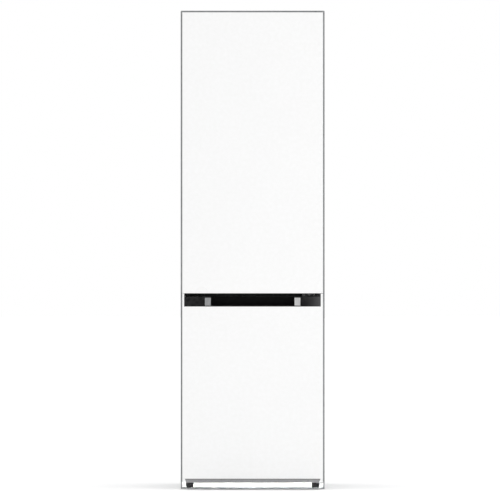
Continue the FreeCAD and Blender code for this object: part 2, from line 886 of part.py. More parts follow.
def door_bin(label, number):
    body = begin(label)
    low = f"first_bin + bin_pitch * {number}"
    high = f"{low} + bin_height"
    back = "bin_front + bin_depth"
    pad(body, "XY", wide("bin_half", "bin_front", back), low, high)
    dress(
        body, "Fillet",
        lambda edge: along(edge, "z") and edge.CenterOfMass.y > value("bin_front + bin_depth / 2"),
        "bin_round",
    )
    hollow = wide("bin_half - bin_wall", "bin_front + bin_wall", f"{back} - bin_wall")
    cut(body, "XY", hollow, f"{low} + bin_wall", f"{high} + overrun")


# Fridge compartment

shelf_levels = ["crisper_cover"]
shelf_levels += [f"crisper_cover + shelf_pitch * {number}" for number in (1, 2, 3)]


def glass_shelf(label, level):
    x = ("-glass_half", "glass_half")
    block(label, x, ("shelf_front", "shelf_back"), (level, f"{level} + glass_thickness"))


def tray_body(label, x, y, z, wall, front_wall):
    body = begin(label)
    pad(body, "XY", rect(*x, *y), *z)
    hollow = rect(f"{x[0]} + {wall}", f"{x[1]} - {wall}", f"{y[0]} + {front_wall}", f"{y[1]} - {wall}")
    cut(body, "XY", hollow, f"{z[0]} + {wall}", f"{z[1]} + overrun")
    return body


def crisper(label, left, right):
    low = "fridge_floor + running_gap"
    high = "fridge_floor + crisper_height"
    y = ("crisper_front", "crisper_back")
    body = tray_body(label, (left, right), y, (low, high), "crisper_wall", "crisper_wall")
    lip = rect(left, right, "crisper_front - crisper_grip_depth", "crisper_front")
    pad(body, "XY", lip, f"{high} - crisper_wall", high)
    fold = rect(
        left, right, "crisper_front - crisper_grip_depth",
        "crisper_front - crisper_grip_depth + crisper_wall")
    pad(body, "XY", fold, f"{high} - crisper_grip_height", high)


def air_duct():
    body = begin("fridge_air_duct")
    low = "crisper_cover + duct_margin"
    pad(
        body, "XZ", wide("duct_width / 2", low, "fridge_top - duct_margin"),
        "fridge_back - duct_depth", "fridge_back")
    slot_low = f"{low} + duct_slot_side_wall"
    slot = wide("duct_width / 2 - duct_slot_side_wall", slot_low, f"{slot_low} + duct_slot_height")
    feature = cut(
        body, "XZ", slot, "fridge_back - duct_depth - overrun", "fridge_back - duct_depth / 2")
    doc.recompute()
    repeat(body, feature, "Z_Axis", "duct_slot_pitch * 6", 7)


def lamp_lens():
    low = "fridge_top - lamp_height"
    y = ("face_front + lamp_setback", "face_front + lamp_setback + lamp_depth")
    block("lamp_lens", ("-lamp_width / 2", "lamp_width / 2"), y, (low, "fridge_top"))


# Freezer compartment

def freezer_shelves():
    shelves = []
    half = "freezer_half - glass_side_gap"
    for level in ("first_freezer_shelf", "second_freezer_shelf"):
        y = ("freezer_drawer_front + freezer_front_wall", "air_cover_front - running_gap")
        z = (level, f"{level} + glass_thickness")
        shelves.append(primitive_box((f"-({half})", half), y, z))
    group("freezer_shelves", shelves)


def freezer_drawer(label, low, ceiling, back):
    y = ("freezer_drawer_front", back)
    x = ("-freezer_drawer_half", "freezer_drawer_half")
    z = (f"{low} + running_gap", f"{ceiling} - freezer_drawer_top_gap")
    body = tray_body(label, x, y, z, "freezer_drawer_wall", "freezer_front_wall")
    grip = wide("freezer_grip_width / 2", f"{z[1]} - freezer_grip_height", f"{z[1]} + overrun")
    front = "freezer_drawer_front"
    cut(body, "XZ", grip, f"{front} - overrun", f"{front} + freezer_front_wall")


def freezer_air_cover():
    body = begin("freezer_air_cover")
    half = "freezer_half - glass_side_gap"
    low = "step_top + glass_thickness + running_gap"
    pad(
        body, "XZ", wide(half, "step_top + running_gap", "freezer_top - running_gap"),
        "air_cover_front", "air_cover_back")
    slot_low = f"{low} + air_slot_pitch"
    slot = wide("air_slot_width / 2", slot_low, f"{slot_low} + air_slot_height")
    feature = cut(body, "XZ", slot, "air_cover_front - overrun", "air_cover_back")
    doc.recompute()
    repeat(body, feature, "Z_Axis", "air_slot_pitch * 5", 6)


def evaporator():
    """Finned block behind the air cover, standing on the step of the freezer."""
    body = begin("evaporator")
    back = "freezer_back - running_gap"
    front = f"{back} - evaporator_depth"
    low = "step_top + running_gap"
    high = f"{low} + evaporator_rise + evaporator_height"
    core = wide("evaporator_half", f"{low} + evaporator_rise", high)
    pad(body, "XZ", core, f"{back} - fin_body_depth", back)
    fin = rect("-evaporator_half", "-evaporator_half + fin_thickness", low, high)
    feature = pad(body, "XZ", fin, front, back)
    doc.recompute()
    repeat(body, feature, "X_Axis", "evaporator_half * 2 - fin_thickness", 21)


def fan(label, radius, depth, x, y, z):
    """Hub with a shaft stub and raked blades, turning about Y."""
    body = begin(label)
    pad(body, "XZ", ("0", "0", "fan_hub_radius"), f"-({depth}) / 2", f"({depth}) / 2")
    rake = "fan_blade_thickness"
    blade = [
        (f"-({depth}) / 2", "-fan_hub_radius / 2"),
        (f"-({depth}) / 2 + {rake}", "-fan_hub_radius / 2"),
        (f"({depth}) / 2", "fan_hub_radius / 2"),
        (f"({depth}) / 2 - {rake}", "fan_hub_radius / 2"),
    ]
    feature = pad(body, "YZ", blade, "fan_hub_radius / 2", radius)
    pattern = body.newObject("PartDesign::PolarPattern", "Blades")
    pattern.Originals = [feature]
    pattern.Axis = (origin_part(body, "Y_Axis"), [""])
    pattern.Angle = 360
    pattern.Occurrences = 5
    body.Tip = pattern
    move(body, x, y, z)


def fan_motor(label, x, front, back, z):
    """Round motor on the wall behind it, with a short shaft into the fan's hub."""
    body = begin(label)
    pad(body, "XZ", ("0", "0", "fan_motor_radius"), "0", f"({back}) - ({front})")
    pad(body, "XZ", ("0", "0", "fan_shaft_radius"), "-running_gap", "running_gap")
    move(body, x, front, z)


# Machine compartment

def compressor_tray():
    body = begin("compressor_tray")
    front = "machine_front + base_sheet"
    back = "cabinet_back - grille_wall"
    pad(body, "XY", wide("inner_half", front, back), "tray_bottom", "tray_top")
    for side in ("-1", "1"):
        for cheek in ("-1", "1"):
            near = f"{side} * roller_x + {cheek} * (roller_width / 2 + running_gap)"
            far = f"{side} * roller_x + {cheek} * (roller_width / 2 + running_gap + fork_sheet)"
            ends = (near, far) if cheek == "1" else (far, near)
            y = ("roller_y - fork_length / 2", "roller_y + fork_length / 2 - grille_wall")
            pad(body, "XY", rect(*ends, *y), "fork_bottom", "tray_bottom + tray_sheet / 2")
            hole = ("roller_y", "roller_radius", "stub_radius + pin_clearance")
            cut(body, "YZ", hole, f"{ends[0]} - running_gap / 2", f"{ends[1]} + running_gap / 2")


def roller(label, side):
    body = begin(label)
    pad(body, "YZ", ("0", "0", "roller_radius"), "-roller_width / 2", "roller_width / 2")
    reach = "roller_width / 2 + running_gap + fork_sheet"
    pad(body, "YZ", ("0", "0", "stub_radius"), f"-({reach})", reach)
    move(body, f"{side} * roller_x", "roller_y", "roller_radius")


def foot(label, side):
    body = begin(label)
    turn(body, [
        ("0", "0"),
        ("foot_sole_radius", "0"),
        ("foot_radius", "foot_waist_height - foot_radius / 3"),
        ("foot_radius", "foot_waist_height + foot_radius / 4"),
        ("foot_neck_radius", "foot_height"),
        ("stem_radius", "foot_height"),
        ("stem_radius", "base_top + stem_above_base"),
        ("0", "base_top + stem_above_base"),
    ])
    move(body, f"{side} * foot_x", "foot_y", "0")


def compressor():
    body = begin("compressor")
    foot_half = "compressor_foot_length / 2"
    base = "compressor_foot + compressor_foot_sheet"
    high = f"{base} + compressor_height"
    pad(body, "XY", ("compressor_x", "compressor_y", "compressor_radius"), "compressor_foot", high)
    dress(
        body, "Fillet",
        lambda edge: edge.CenterOfMass.z > value(f"{high} - compressor_round"),
        "compressor_round",
    )
    plate = rect(
        f"compressor_x - {foot_half}", f"compressor_x + {foot_half}",
        "compressor_y - compressor_foot_width / 2", "compressor_y + compressor_foot_width / 2")
    pad(body, "XY", plate, "compressor_foot", base)


def compressor_mounts():
    mounts = []
    for across in ("-1", "1"):
        for deep in ("-1", "1"):
            x = f"compressor_x + {across} * (compressor_foot_length / 2 - mount_inset)"
            y = f"compressor_y + {deep} * (compressor_foot_width / 2 - mount_inset)"
            mounts.append(primitive_rod(x, y, "tray_top", "mount_radius", "mount_height"))
    group("compressor_mounts", mounts)


def condenser_coil():
    """One tube in flat bends between two strips that stand on the compressor tray."""
    left = places.coil_left
    right = places.coil_right
    radius = sizes.coil_turn_radius
    y = places.machine_front + sizes.coil_setback
    low = places.tray_top + radius
    edges = []
    for number in range(int(sizes.coil_runs)):
        level = low + 2 * radius * number
        start, end = (left, right) if number % 2 == 0 else (right, left)
        edges.append(Part.LineSegment(FreeCAD.Vector(start, y, level), FreeCAD.Vector(end, y, level)))
        if number < sizes.coil_runs - 1:
            outward = radius if end == right else -radius
            middle = FreeCAD.Vector(end + outward, y, level + radius)
            bend_end = FreeCAD.Vector(end, y, level + 2 * radius)
            edges.append(Part.Arc(FreeCAD.Vector(end, y, level), middle, bend_end))
    path = Part.Wire([edge.toShape() for edge in edges])
    start = FreeCAD.Vector(left, y, low)
    ring = Part.Wire([Part.Circle(start, FreeCAD.Vector(1, 0, 0), sizes.coil_tube_radius).toShape()])
    shape = path.makePipeShell([ring], True, False)
    height = low + 2 * radius * (sizes.coil_runs - 1) + 2 * sizes.coil_tube_radius - places.tray_top
    strip_shares = (0.2, 0.8)
    for share in strip_shares:
        corner = FreeCAD.Vector(left + (right - left) * share, y, places.tray_top)
        strip = Part.makeBox(sizes.coil_strip_width, sizes.coil_strip_thickness, height, corner)
        shape = shape.fuse(strip)
    coil = doc.addObject("Part::Feature", "condenser_coil")
    coil.Label = "condenser_coil"
    coil.Shape = shape
    coil.Placement = FreeCAD.Placement()
    nodes.append(coil)


def rear_grille():
    body = begin("rear_grille")
    y = ("cabinet_back - grille_wall", "cabinet_back")
    pad(body, "XZ", wide("inner_half", "tray_bottom", "machine_ceiling - running_gap"), *y)
    slot = wide(
        "inner_half - grille_slot_side_wall", "tray_top + grille_slot_rise",
        "tray_top + grille_slot_rise + grille_slot_height")
    feature = cut(body, "XZ", slot, y[0], f"{y[1]} + overrun")
    doc.recompute()
    repeat(body, feature, "Z_Axis", "grille_slot_pitch * 6", 7)
    half = "inlet_width / 2"
    centre = "-(inner_half - inlet_inset)"
    hole = rect(f"{centre} - {half}", f"{centre} + {half}", "inlet_rise", "inlet_rise + inlet_height")
    cut(body, "XZ", hole, y[0], f"{y[1]} + overrun")


def power_inlet():
    """Socket of the removable mains lead, open to the back."""
    body = begin("power_inlet")
    centre = "-(inner_half - inlet_inset)"
    half = "(inlet_width / 2 - running_gap)"
    low = "inlet_rise + running_gap"
    high = "inlet_rise + inlet_height - running_gap"
    outer = rect(f"{centre} - {half}", f"{centre} + {half}", low, high)
    pad(body, "XZ", outer, "cabinet_back - inlet_depth", "cabinet_back")
    well = rect(
        f"{centre} - {half} + inlet_wall", f"{centre} + {half} - inlet_wall",
        f"{low} + inlet_wall", f"{high} - inlet_wall")
    cut(body, "XZ", well, "cabinet_back - inlet_depth + inlet_wall", "cabinet_back + overrun")


def control_box():
    low = "machine_ceiling - control_height"
    y = ("machine_front + base_sheet", "machine_front + base_sheet + control_depth")
    x = ("-inner_half + control_inset", "-inner_half + control_inset + control_width")
    block("control_box", x, y, (low, "machine_ceiling"))


# The refrigerator

side_panel("side_panel_left", "-1")
side_panel("side_panel_right", "1")
top_panel()
face_frame()
cabinet_foam()
fridge_liner()
freezer_liner()
rear_panel()
base_plate()
base_rail()
kick_plate()
beam_cover()
hinges()
upper_door()
lower_door()
for number in range(4):
    door_bin(f"door_bin_{number + 1}", number)
glass_shelf("crisper_cover_shelf", "crisper_cover")
for number, level in enumerate(shelf_levels[1:], 1):
    glass_shelf(f"glass_shelf_{number}", level)
crisper("crisper_left", "-(fridge_half - crisper_side_gap)", "-crisper_middle_gap / 2")
crisper("crisper_right", "crisper_middle_gap / 2", "fridge_half - crisper_side_gap")
air_duct()
lamp_lens()
freezer_shelves()
step_gap = "step_front - freezer_drawer_back_gap"
freezer_drawer("freezer_drawer_bottom", "freezer_floor", "first_freezer_shelf", step_gap)
cover_gap = "air_cover_front - freezer_drawer_back_gap"
shelf_top = "first_freezer_shelf + glass_thickness"
freezer_drawer("freezer_drawer_middle", shelf_top, "second_freezer_shelf", cover_gap)
shelf_top = "second_freezer_shelf + glass_thickness"
freezer_drawer("freezer_drawer_top", shelf_top, "freezer_top", cover_gap)
freezer_air_cover()
evaporator()
fan("evaporator_fan", "inner_fan_radius", "inner_fan_depth", "0", "inner_fan_y", "inner_fan_height")
fan_motor(
    "evaporator_fan_motor", "0", "inner_fan_y + inner_fan_depth / 2 + running_gap",
    "freezer_back", "inner_fan_height")
compressor_tray()
roller("rear_roller_left", "-1")
roller("rear_roller_right", "1")
foot("front_foot_left", "-1")
foot("front_foot_right", "1")
compressor()
compressor_mounts()
condenser_coil()
rear_grille()
power_inlet()
control_box()

doc.recompute()

# Nothing is written unless every feature and every sub-part is sound.
for item in doc.Objects:
    if "Invalid" in item.State or "Error" in item.State:
        owner = item.getParentGeoFeatureGroup()
        raise RuntimeError(f"{item.Label} of {owner.Label if owner else 'the document'} failed: {item.State}")
for item in doc.Objects:
    if item.TypeId == "PartDesign::Pocket" and item.BaseFeature.Shape.Volume - item.Shape.Volume < 1:
        raise RuntimeError(f"a pocket in {item.getParentGeoFeatureGroup().Label} cuts nothing")
os.makedirs("parts", exist_ok=True)
for node in nodes:
    shape = node.Shape
    if shape.isNull() or not shape.isValid() or not shape.Solids:
        raise RuntimeError(f"{node.Label} has no sound shape")
for node in nodes:
    node.Shape.exportStep(os.path.join("parts", f"{node.Label}.step"))
print(len(nodes), "sub-parts written")
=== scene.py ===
import json
import math
import bmesh
import bpy
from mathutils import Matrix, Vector


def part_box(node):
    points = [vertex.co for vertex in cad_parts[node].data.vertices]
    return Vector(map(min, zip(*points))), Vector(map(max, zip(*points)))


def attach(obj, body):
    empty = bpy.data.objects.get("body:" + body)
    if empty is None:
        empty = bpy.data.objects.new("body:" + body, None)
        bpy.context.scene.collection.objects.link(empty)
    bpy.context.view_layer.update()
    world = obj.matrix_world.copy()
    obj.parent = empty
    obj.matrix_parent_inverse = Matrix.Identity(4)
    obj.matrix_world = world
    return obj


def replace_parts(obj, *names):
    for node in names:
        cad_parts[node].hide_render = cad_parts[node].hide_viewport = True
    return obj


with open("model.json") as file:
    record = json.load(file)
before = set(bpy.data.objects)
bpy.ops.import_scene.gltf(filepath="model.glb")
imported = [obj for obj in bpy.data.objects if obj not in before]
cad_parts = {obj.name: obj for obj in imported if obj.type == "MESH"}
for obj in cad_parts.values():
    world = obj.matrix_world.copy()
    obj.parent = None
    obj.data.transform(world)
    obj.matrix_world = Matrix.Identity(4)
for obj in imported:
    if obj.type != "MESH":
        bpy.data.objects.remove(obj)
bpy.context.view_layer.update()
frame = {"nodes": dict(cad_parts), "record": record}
print("fridge loaded", len(frame["nodes"]), "nodes")


# node helpers

def feed(tree, socket, value):
    if isinstance(value, bpy.types.NodeSocket):
        tree.links.new(value, socket)
    else:
        socket.default_value = value


def dress(tree, node, values):
    for key, value in values.items():
        feed(tree, node.inputs[key], value)


def addNode(tree, kind, inputs=None, **settings):
    node = tree.nodes.new(kind)
    for key, value in settings.items():
        setattr(node, key, value)
    dress(tree, node, inputs or {})
    return node


def newGroup(name, inputs, outputs):
    group = bpy.data.node_groups.new(name, "ShaderNodeTree")
    for label, value in inputs.items():
        kind = "NodeSocketVector" if isinstance(value, tuple) else "NodeSocketFloat"
        group.interface.new_socket(name=label, in_out="INPUT", socket_type=kind).default_value = value
    for label in outputs:
        group.interface.new_socket(name=label, in_out="OUTPUT", socket_type="NodeSocketFloat")
    return group, addNode(group, "NodeGroupInput").outputs, addNode(group, "NodeGroupOutput").inputs


def useGroup(tree, group, inputs):
    return addNode(tree, "ShaderNodeGroup", inputs, node_tree=group).outputs


def ranged(tree, value, low=0.0, high=1.0, fromLow=0.0, fromHigh=1.0):
    return addNode(tree, "ShaderNodeMapRange", {
        "Value": value, "From Min": fromLow, "From Max": fromHigh, "To Min": low, "To Max": high}).outputs[0]


def mixed(tree, factor, first, second):
    return addNode(tree, "ShaderNodeMix", {0: factor, 6: first, 7: second}, data_type="RGBA").outputs[2]


def calculated(tree, operation, first, second, clamp=False):
    return addNode(tree, "ShaderNodeMath", {0: first, 1: second},
                   operation=operation, use_clamp=clamp).outputs[0]


def objectPlace(tree):
    return addNode(tree, "ShaderNodeTexCoord").outputs["Object"]


def clouds(tree, size, detail, rough=0.5):
    # noise whose features have about the given size
    scale = calculated(tree, "DIVIDE", 1.0, size)
    return addNode(tree, "ShaderNodeTexNoise", {
        "Vector": objectPlace(tree), "Scale": scale, "Detail": detail, "Roughness": rough}).outputs[0]


# groups that several finishes share

def buildFineGrain():
    # small even grain in the surface, with a slow drift of shade over it
    group, given, result = newGroup(
        "fineGrain", {"Grain size": 0.001, "Drift size": 0.2}, ("Height", "Shade"))
    drift = clouds(group, given["Drift size"], detail=2.0)
    feed(group, result["Height"], clouds(group, given["Grain size"], detail=3.0))
    feed(group, result["Shade"], ranged(group, drift, fromLow=0.3, fromHigh=0.7))
    return group


def buildEdgeWear():
    # worn or polished corners, broken up by noise
    group, given, result = newGroup("edgeWear", {"Width": 0.05, "Patch size": 0.02}, ("Mask",))
    sharp = addNode(group, "ShaderNodeNewGeometry").outputs["Pointiness"]
    # a pointiness of 0.5 is flat
    edge = ranged(group, sharp, fromLow=0.505, fromHigh=calculated(group, "ADD", 0.5, given["Width"]))
    broken = ranged(group, clouds(group, given["Patch size"], detail=4.0), fromLow=0.35, fromHigh=0.6)
    feed(group, result["Mask"], calculated(group, "MULTIPLY", edge, broken))
    return group


def buildDustVeil():
    # thin dust on what faces up
    group, given, result = newGroup("dustVeil", {"Amount": 0.3, "Patch size": 0.08}, ("Mask",))
    normal = addNode(group, "ShaderNodeNewGeometry").outputs["Normal"]
    upward = addNode(group, "ShaderNodeSeparateXYZ", {0: normal}).outputs[2]
    facing = ranged(group, upward, fromLow=0.55, fromHigh=0.98)
    patches = clouds(group, given["Patch size"], detail=5.0, rough=0.65)
    soft = ranged(group, patches, low=0.35, fromLow=0.3, fromHigh=0.75)
    veil = calculated(group, "MULTIPLY", facing, soft)
    feed(group, result["Mask"], calculated(group, "MULTIPLY", veil, given["Amount"]))
    return group


def buildBrushedStreaks():
    # long fine scratches along one axis, and streaks five times as broad
    group, given, result = newGroup(
        "brushedStreaks", {"Across": 1600.0, "Along": (0.02, 1.0, 1.0)}, ("Height", "Streak"))
    spread = addNode(group, "ShaderNodeVectorMath", {0: objectPlace(group), 1: given["Along"]},
                     operation="MULTIPLY").outputs[0]
    fine, broad = [
        addNode(group, "ShaderNodeTexNoise", {"Vector": spread, "Scale": scale, "Detail": 2.0}).outputs[0]
        for scale in (given["Across"], calculated(group, "MULTIPLY", given["Across"], 0.2))]
    feed(group, result["Height"], fine)
    feed(group, result["Streak"], ranged(group, broad, fromLow=0.32, fromHigh=0.68))
    return group


def buildZincSpangle():
    # frost-like crystals of galvanised sheet
    group, given, result = newGroup("zincSpangle", {"Crystal size": 0.02}, ("Tone", "Height"))
    place = objectPlace(group)
    scale = calculated(group, "DIVIDE", 1.0, given["Crystal size"])
    bend = addNode(group, "ShaderNodeTexNoise", {
        "Vector": place, "Scale": calculated(group, "MULTIPLY", scale, 3.0), "Detail": 2.0}).outputs[1]
    shift = addNode(group, "ShaderNodeVectorMath", {0: bend, "Scale": 0.006}, operation="SCALE").outputs[0]
    moved = addNode(group, "ShaderNodeVectorMath", {0: place, 1: shift}, operation="ADD").outputs[0]
    cells = addNode(group, "ShaderNodeTexVoronoi", {"Vector": moved, "Scale": scale}).outputs
    tone = addNode(group, "ShaderNodeSeparateXYZ", {0: cells["Color"]}).outputs[0]
    feed(group, result["Tone"], tone)
    feed(group, result["Height"], cells["Distance"])
    return group


fineGrain = buildFineGrain()
edgeWear = buildEdgeWear()
dustVeil = buildDustVeil()
brushedStreaks = buildBrushedStreaks()
zincSpangle = buildZincSpangle()
print("shared groups built", len(bpy.data.node_groups))


# finishes

def newMaterial(name):
    material = bpy.data.materials.new(name)
    material.use_nodes = True
    tree = material.node_tree
    return material, tree, tree.nodes["Principled BSDF"]


def raised(tree, height, depth, strength=1.0, under=None):
    inputs = {"Height": height, "Distance": depth, "Strength": strength}
    if under is not None:
        inputs["Normal"] = under
    return addNode(tree, "ShaderNodeBump", inputs).outputs[0]


def rgb(values, factor=1.0):
    return tuple(min(1.0, value * factor) for value in values[:3]) + (1.0,)


def aged(tree, colour, wornColour, wear, dust, kind):
    # worn edges first, then dust on what faces up
    edges = useGroup(tree, edgeWear, {"Width": kind["wearWidth"], "Patch size": kind["wearPatch"]})["Mask"]
    veil = useGroup(tree, dustVeil, {"Amount": dust, "Patch size": kind["dustPatch"]})["Mask"]
    colour = mixed(tree, calculated(tree, "MULTIPLY", edges, wear), colour, wornColour)
    return mixed(tree, veil, colour, rgb(kind["dustColour"])), veil


coating = {"driftSize": 0.25, "wearWidth": 0.06, "wearPatch": 0.015, "dustPatch": 0.07,
           "dustColour": (0.62, 0.60, 0.56), "dustRough": 0.4, "roughDrift": 0.03}


def coatedFinish(name, look):
    # paint or moulded plastic: fine texture, slow drift of shade, worn edges and some dust
    material, tree, shader = newMaterial(name)
    grain = useGroup(tree, fineGrain, {"Grain size": look["grain"], "Drift size": coating["driftSize"]})
    drift, spread = look["drift"], coating["roughDrift"]
    colour = mixed(tree, grain["Shade"], rgb(look["colour"], 1.0 - drift), rgb(look["colour"], 1.0 + drift))
    colour, veil = aged(tree, colour, rgb(look.get("wornColour", look["colour"])), look.get("wear", 0.3),
                        look.get("dust", 0.1), coating)
    if "drawn" in look:
        # painted light and shade: a tint that grows along the piece, from start to end as shares of its
        # length
        axis, start, end, power, paintedTint = look["drawn"]
        along = addNode(tree, "ShaderNodeTexCoord").outputs["Generated"]
        way = addNode(tree, "ShaderNodeSeparateXYZ", {0: along}).outputs[axis]
        part = calculated(tree, "POWER", ranged(tree, way, fromLow=start, fromHigh=end), power)
        colour = mixed(tree, part, colour, rgb(paintedTint))
    rough = ranged(tree, grain["Shade"], look["rough"] - spread, look["rough"] + spread)
    dusty = calculated(tree, "MULTIPLY", veil, coating["dustRough"])
    dress(tree, shader, {
        "Base Color": colour, "Roughness": calculated(tree, "ADD", rough, dusty, clamp=True),
        "Metallic": look.get("metal", 0.0), "Specular IOR Level": look.get("specular", 0.5),
        "Coat Weight": look.get("coat", 0.0), "Coat Roughness": look.get("coatRough", 0.1),
        "Normal": raised(tree, grain["Height"], look["depth"])})
    if "glow" in look:
        dress(tree, shader, {"Emission Color": colour, "Emission Strength": look["glow"]})
    return material


brushing = {"wearWidth": 0.08, "wearPatch": 0.01, "wear": 0.5, "wornShade": 1.35, "dustPatch": 0.05,
            "dustColour": (0.5, 0.48, 0.45), "dark": 0.88, "light": 1.1, "roughDrift": 0.06}


def brushedFinish(name, look):
    # metal with a brushed, rolled or drawn surface
    material, tree, shader = newMaterial(name)
    streaks = useGroup(tree, brushedStreaks, {"Across": look["across"], "Along": look["along"]})
    dark, light, worn = [rgb(look["colour"], brushing[key]) for key in ("dark", "light", "wornShade")]
    colour = mixed(tree, streaks["Streak"], dark, light)
    rough, drift = look["rough"], brushing["roughDrift"]
    dress(tree, shader, {
        "Base Color": aged(tree, colour, worn, brushing["wear"], look["dust"], brushing)[0],
        "Roughness": ranged(tree, streaks["Streak"], rough + drift, rough - drift),
        "Metallic": 1.0, "Normal": raised(tree, streaks["Height"], look["depth"])})
    return material


zinc = {"grain": 0.0012, "driftSize": 0.15, "dustPatch": 0.06, "dustColour": (0.45, 0.43, 0.40), "dark": 0.92,
        "light": 1.07, "smoother": 0.04, "rougher": 0.06, "crystalDepth": 0.0002, "crystalStrength": 0.4,
        "grainDepth": 0.00006}


def zincFinish(name, look):
    # galvanised sheet with a crystal pattern
    material, tree, shader = newMaterial(name)
    spangle = useGroup(tree, zincSpangle, {"Crystal size": look["crystal"]})
    grain = useGroup(tree, fineGrain, {"Grain size": zinc["grain"], "Drift size": zinc["driftSize"]})
    dust = useGroup(tree, dustVeil, {"Amount": look["dust"], "Patch size": zinc["dustPatch"]})
    dark, light = rgb(look["colour"], zinc["dark"]), rgb(look["colour"], zinc["light"])
    flat = raised(tree, spangle["Height"], zinc["crystalDepth"], zinc["crystalStrength"])
    dress(tree, shader, {
        "Base Color": mixed(tree, dust["Mask"], mixed(tree, spangle["Tone"], dark, light),
                            rgb(zinc["dustColour"])),
        "Roughness": ranged(tree, spangle["Tone"], look["rough"] - zinc["smoother"],
                            look["rough"] + zinc["rougher"]),
        "Metallic": look["metal"], "Normal": raised(tree, grain["Height"], zinc["grainDepth"], 1.0, flat)})
    return material


clear = {"driftSize": 0.06, "dark": 0.985}


def clearFinish(name, look):
    # glass and clear plastic with a faint haze of handling
    material, tree, shader = newMaterial(name)
    grain = useGroup(tree, fineGrain, {"Grain size": look["grain"], "Drift size": clear["driftSize"]})
    dress(tree, shader, {
        "Base Color": mixed(tree, grain["Shade"], rgb(look["colour"], clear["dark"]), rgb(look["colour"])),
        "Roughness": ranged(tree, grain["Shade"], look["rough"], look["rough"] + look["haze"]),
        "Transmission Weight": look["through"], "Alpha": look["cover"], "IOR": look["ior"],
        "Normal": raised(tree, grain["Height"], look["depth"])})
    return material


blackPlastic = {
    "colour": (0.0042, 0.0042, 0.0046), "rough": 0.34, "grain": 0.0009, "depth": 0.00003, "wear": 0.4,
    "wornColour": (0.04, 0.04, 0.042), "dust": 0.02, "drift": 0.15, "specular": 0.22}
greyPlastic = {
    "colour": (0.272, 0.272, 0.279), "rough": 0.55, "grain": 0.0009, "depth": 0.00005, "drift": 0.03,
    "wornColour": (0.38, 0.38, 0.385)}
aluminium = {"colour": (0.52, 0.53, 0.54), "rough": 0.34, "across": 2200.0, "along": (1.0, 1.0, 0.02),
             "depth": 0.00002, "dust": 0.02}

finishes = {
    "silver_paint": coatedFinish("silverPaint", {
        "colour": (0.300, 0.308, 0.316), "rough": 0.42, "grain": 0.0011, "depth": 0.000015, "metal": 0.2,
        "wear": 0.35, "wornColour": (0.42, 0.43, 0.44), "dust": 0.28, "drift": 0.03, "coat": 0.15}),
    "white_paint": coatedFinish("whiteDoorPaint", {
        "colour": (0.930, 0.931, 0.932), "rough": 0.30, "grain": 0.0032, "depth": 0.00003, "wear": 0.25,
        "wornColour": (0.86, 0.86, 0.85), "dust": 0.05, "drift": 0.004, "coat": 0.25, "coatRough": 0.18}),
    "white_plastic": coatedFinish("whiteLinerPlastic", {
        "colour": (0.88, 0.89, 0.89), "rough": 0.34, "grain": 0.0016, "depth": 0.00003, "wear": 0.2,
        "wornColour": (0.92, 0.92, 0.91), "dust": 0.03, "drift": 0.008}),
    "black_plastic": coatedFinish("blackGripPlastic", blackPlastic),
    "grey_plastic": coatedFinish("greyPlastic", greyPlastic),
    "black_steel": coatedFinish("blackSteelPaint", {
        "colour": (0.016, 0.016, 0.017), "rough": 0.32, "grain": 0.0025, "depth": 0.00007, "wear": 0.5,
        "wornColour": (0.12, 0.12, 0.12), "dust": 0.25, "drift": 0.1, "coat": 0.3}),
    "coil_black": coatedFinish("coilPaint", {
        "colour": (0.022, 0.022, 0.022), "rough": 0.55, "grain": 0.0012, "depth": 0.00006, "wear": 0.4,
        "wornColour": (0.09, 0.09, 0.09), "dust": 0.4, "drift": 0.1}),
    "foam": coatedFinish("foamInsulation", {
        "colour": (0.78, 0.68, 0.42), "rough": 0.85, "grain": 0.0022, "depth": 0.0004, "wear": 0.1,
        "drift": 0.08}),
    "seal_rubber": coatedFinish("sealVinyl", {
        "colour": (0.66, 0.66, 0.665), "rough": 0.52, "grain": 0.0012, "depth": 0.00004, "wear": 0.2,
        "wornColour": (0.74, 0.74, 0.74), "dust": 0.08, "drift": 0.02}),
    "mount_rubber": coatedFinish("blackRubber", {
        "colour": (0.022, 0.022, 0.023), "rough": 0.72, "grain": 0.0011, "depth": 0.00008, "wear": 0.35,
        "wornColour": (0.06, 0.06, 0.06), "dust": 0.35, "drift": 0.12}),
    "lamp_plastic": coatedFinish("lampLens", {
        "colour": (0.93, 0.94, 0.95), "rough": 0.3, "grain": 0.001, "depth": 0.00005, "drift": 0.01,
        "glow": 16.0}),
    "satin_aluminium": brushedFinish("satinAluminium", aluminium),
    "bright_screw": brushedFinish("screwNickel", {
        "colour": (0.72, 0.72, 0.71), "rough": 0.22, "across": 3000.0, "along": (1.0, 0.2, 1.0),
        "depth": 0.00001, "dust": 0.05}),
    "zinc_steel": zincFinish("zincSheet", {
        "colour": (0.50, 0.51, 0.52), "rough": 0.42, "crystal": 0.009, "metal": 0.85, "dust": 0.25}),
    "shelf_glass": clearFinish("shelfGlass", {
        "colour": (0.94, 0.985, 0.97), "rough": 0.01, "haze": 0.03, "through": 1.0, "grain": 0.004,
        "depth": 0.000002, "ior": 1.42, "cover": 0.5}),
    "clear_plastic": clearFinish("clearPlastic", {
        "colour": (0.985, 0.992, 0.996), "rough": 0.05, "haze": 0.06, "through": 0.84, "grain": 0.003,
        "depth": 0.00001, "ior": 1.36, "cover": 0.38}),
}
# a darker, matt copy of the black plastic: painted shade for the sheet in the grip hollow
paintedShadeBlack = coatedFinish("paintedShadeSheet", dict(
    blackPlastic, colour=(0.0028, 0.0028, 0.0030), rough=0.62, depth=0.00004, wear=0.2,
    wornColour=(0.01, 0.01, 0.01), specular=0.1))
# a lighter copy of the aluminium: a painted highlight for the right grip plate
paintedHighlightAluminium = brushedFinish("paintedHighlightAluminium", dict(aluminium, colour=(1.0, 1.0, 1.0), rough=0.36))
hingeZinc = zincFinish("hingeZinc", {
    "colour": (0.13, 0.13, 0.135), "rough": 0.4, "crystal": 0.004, "metal": 0.4, "dust": 0.1})

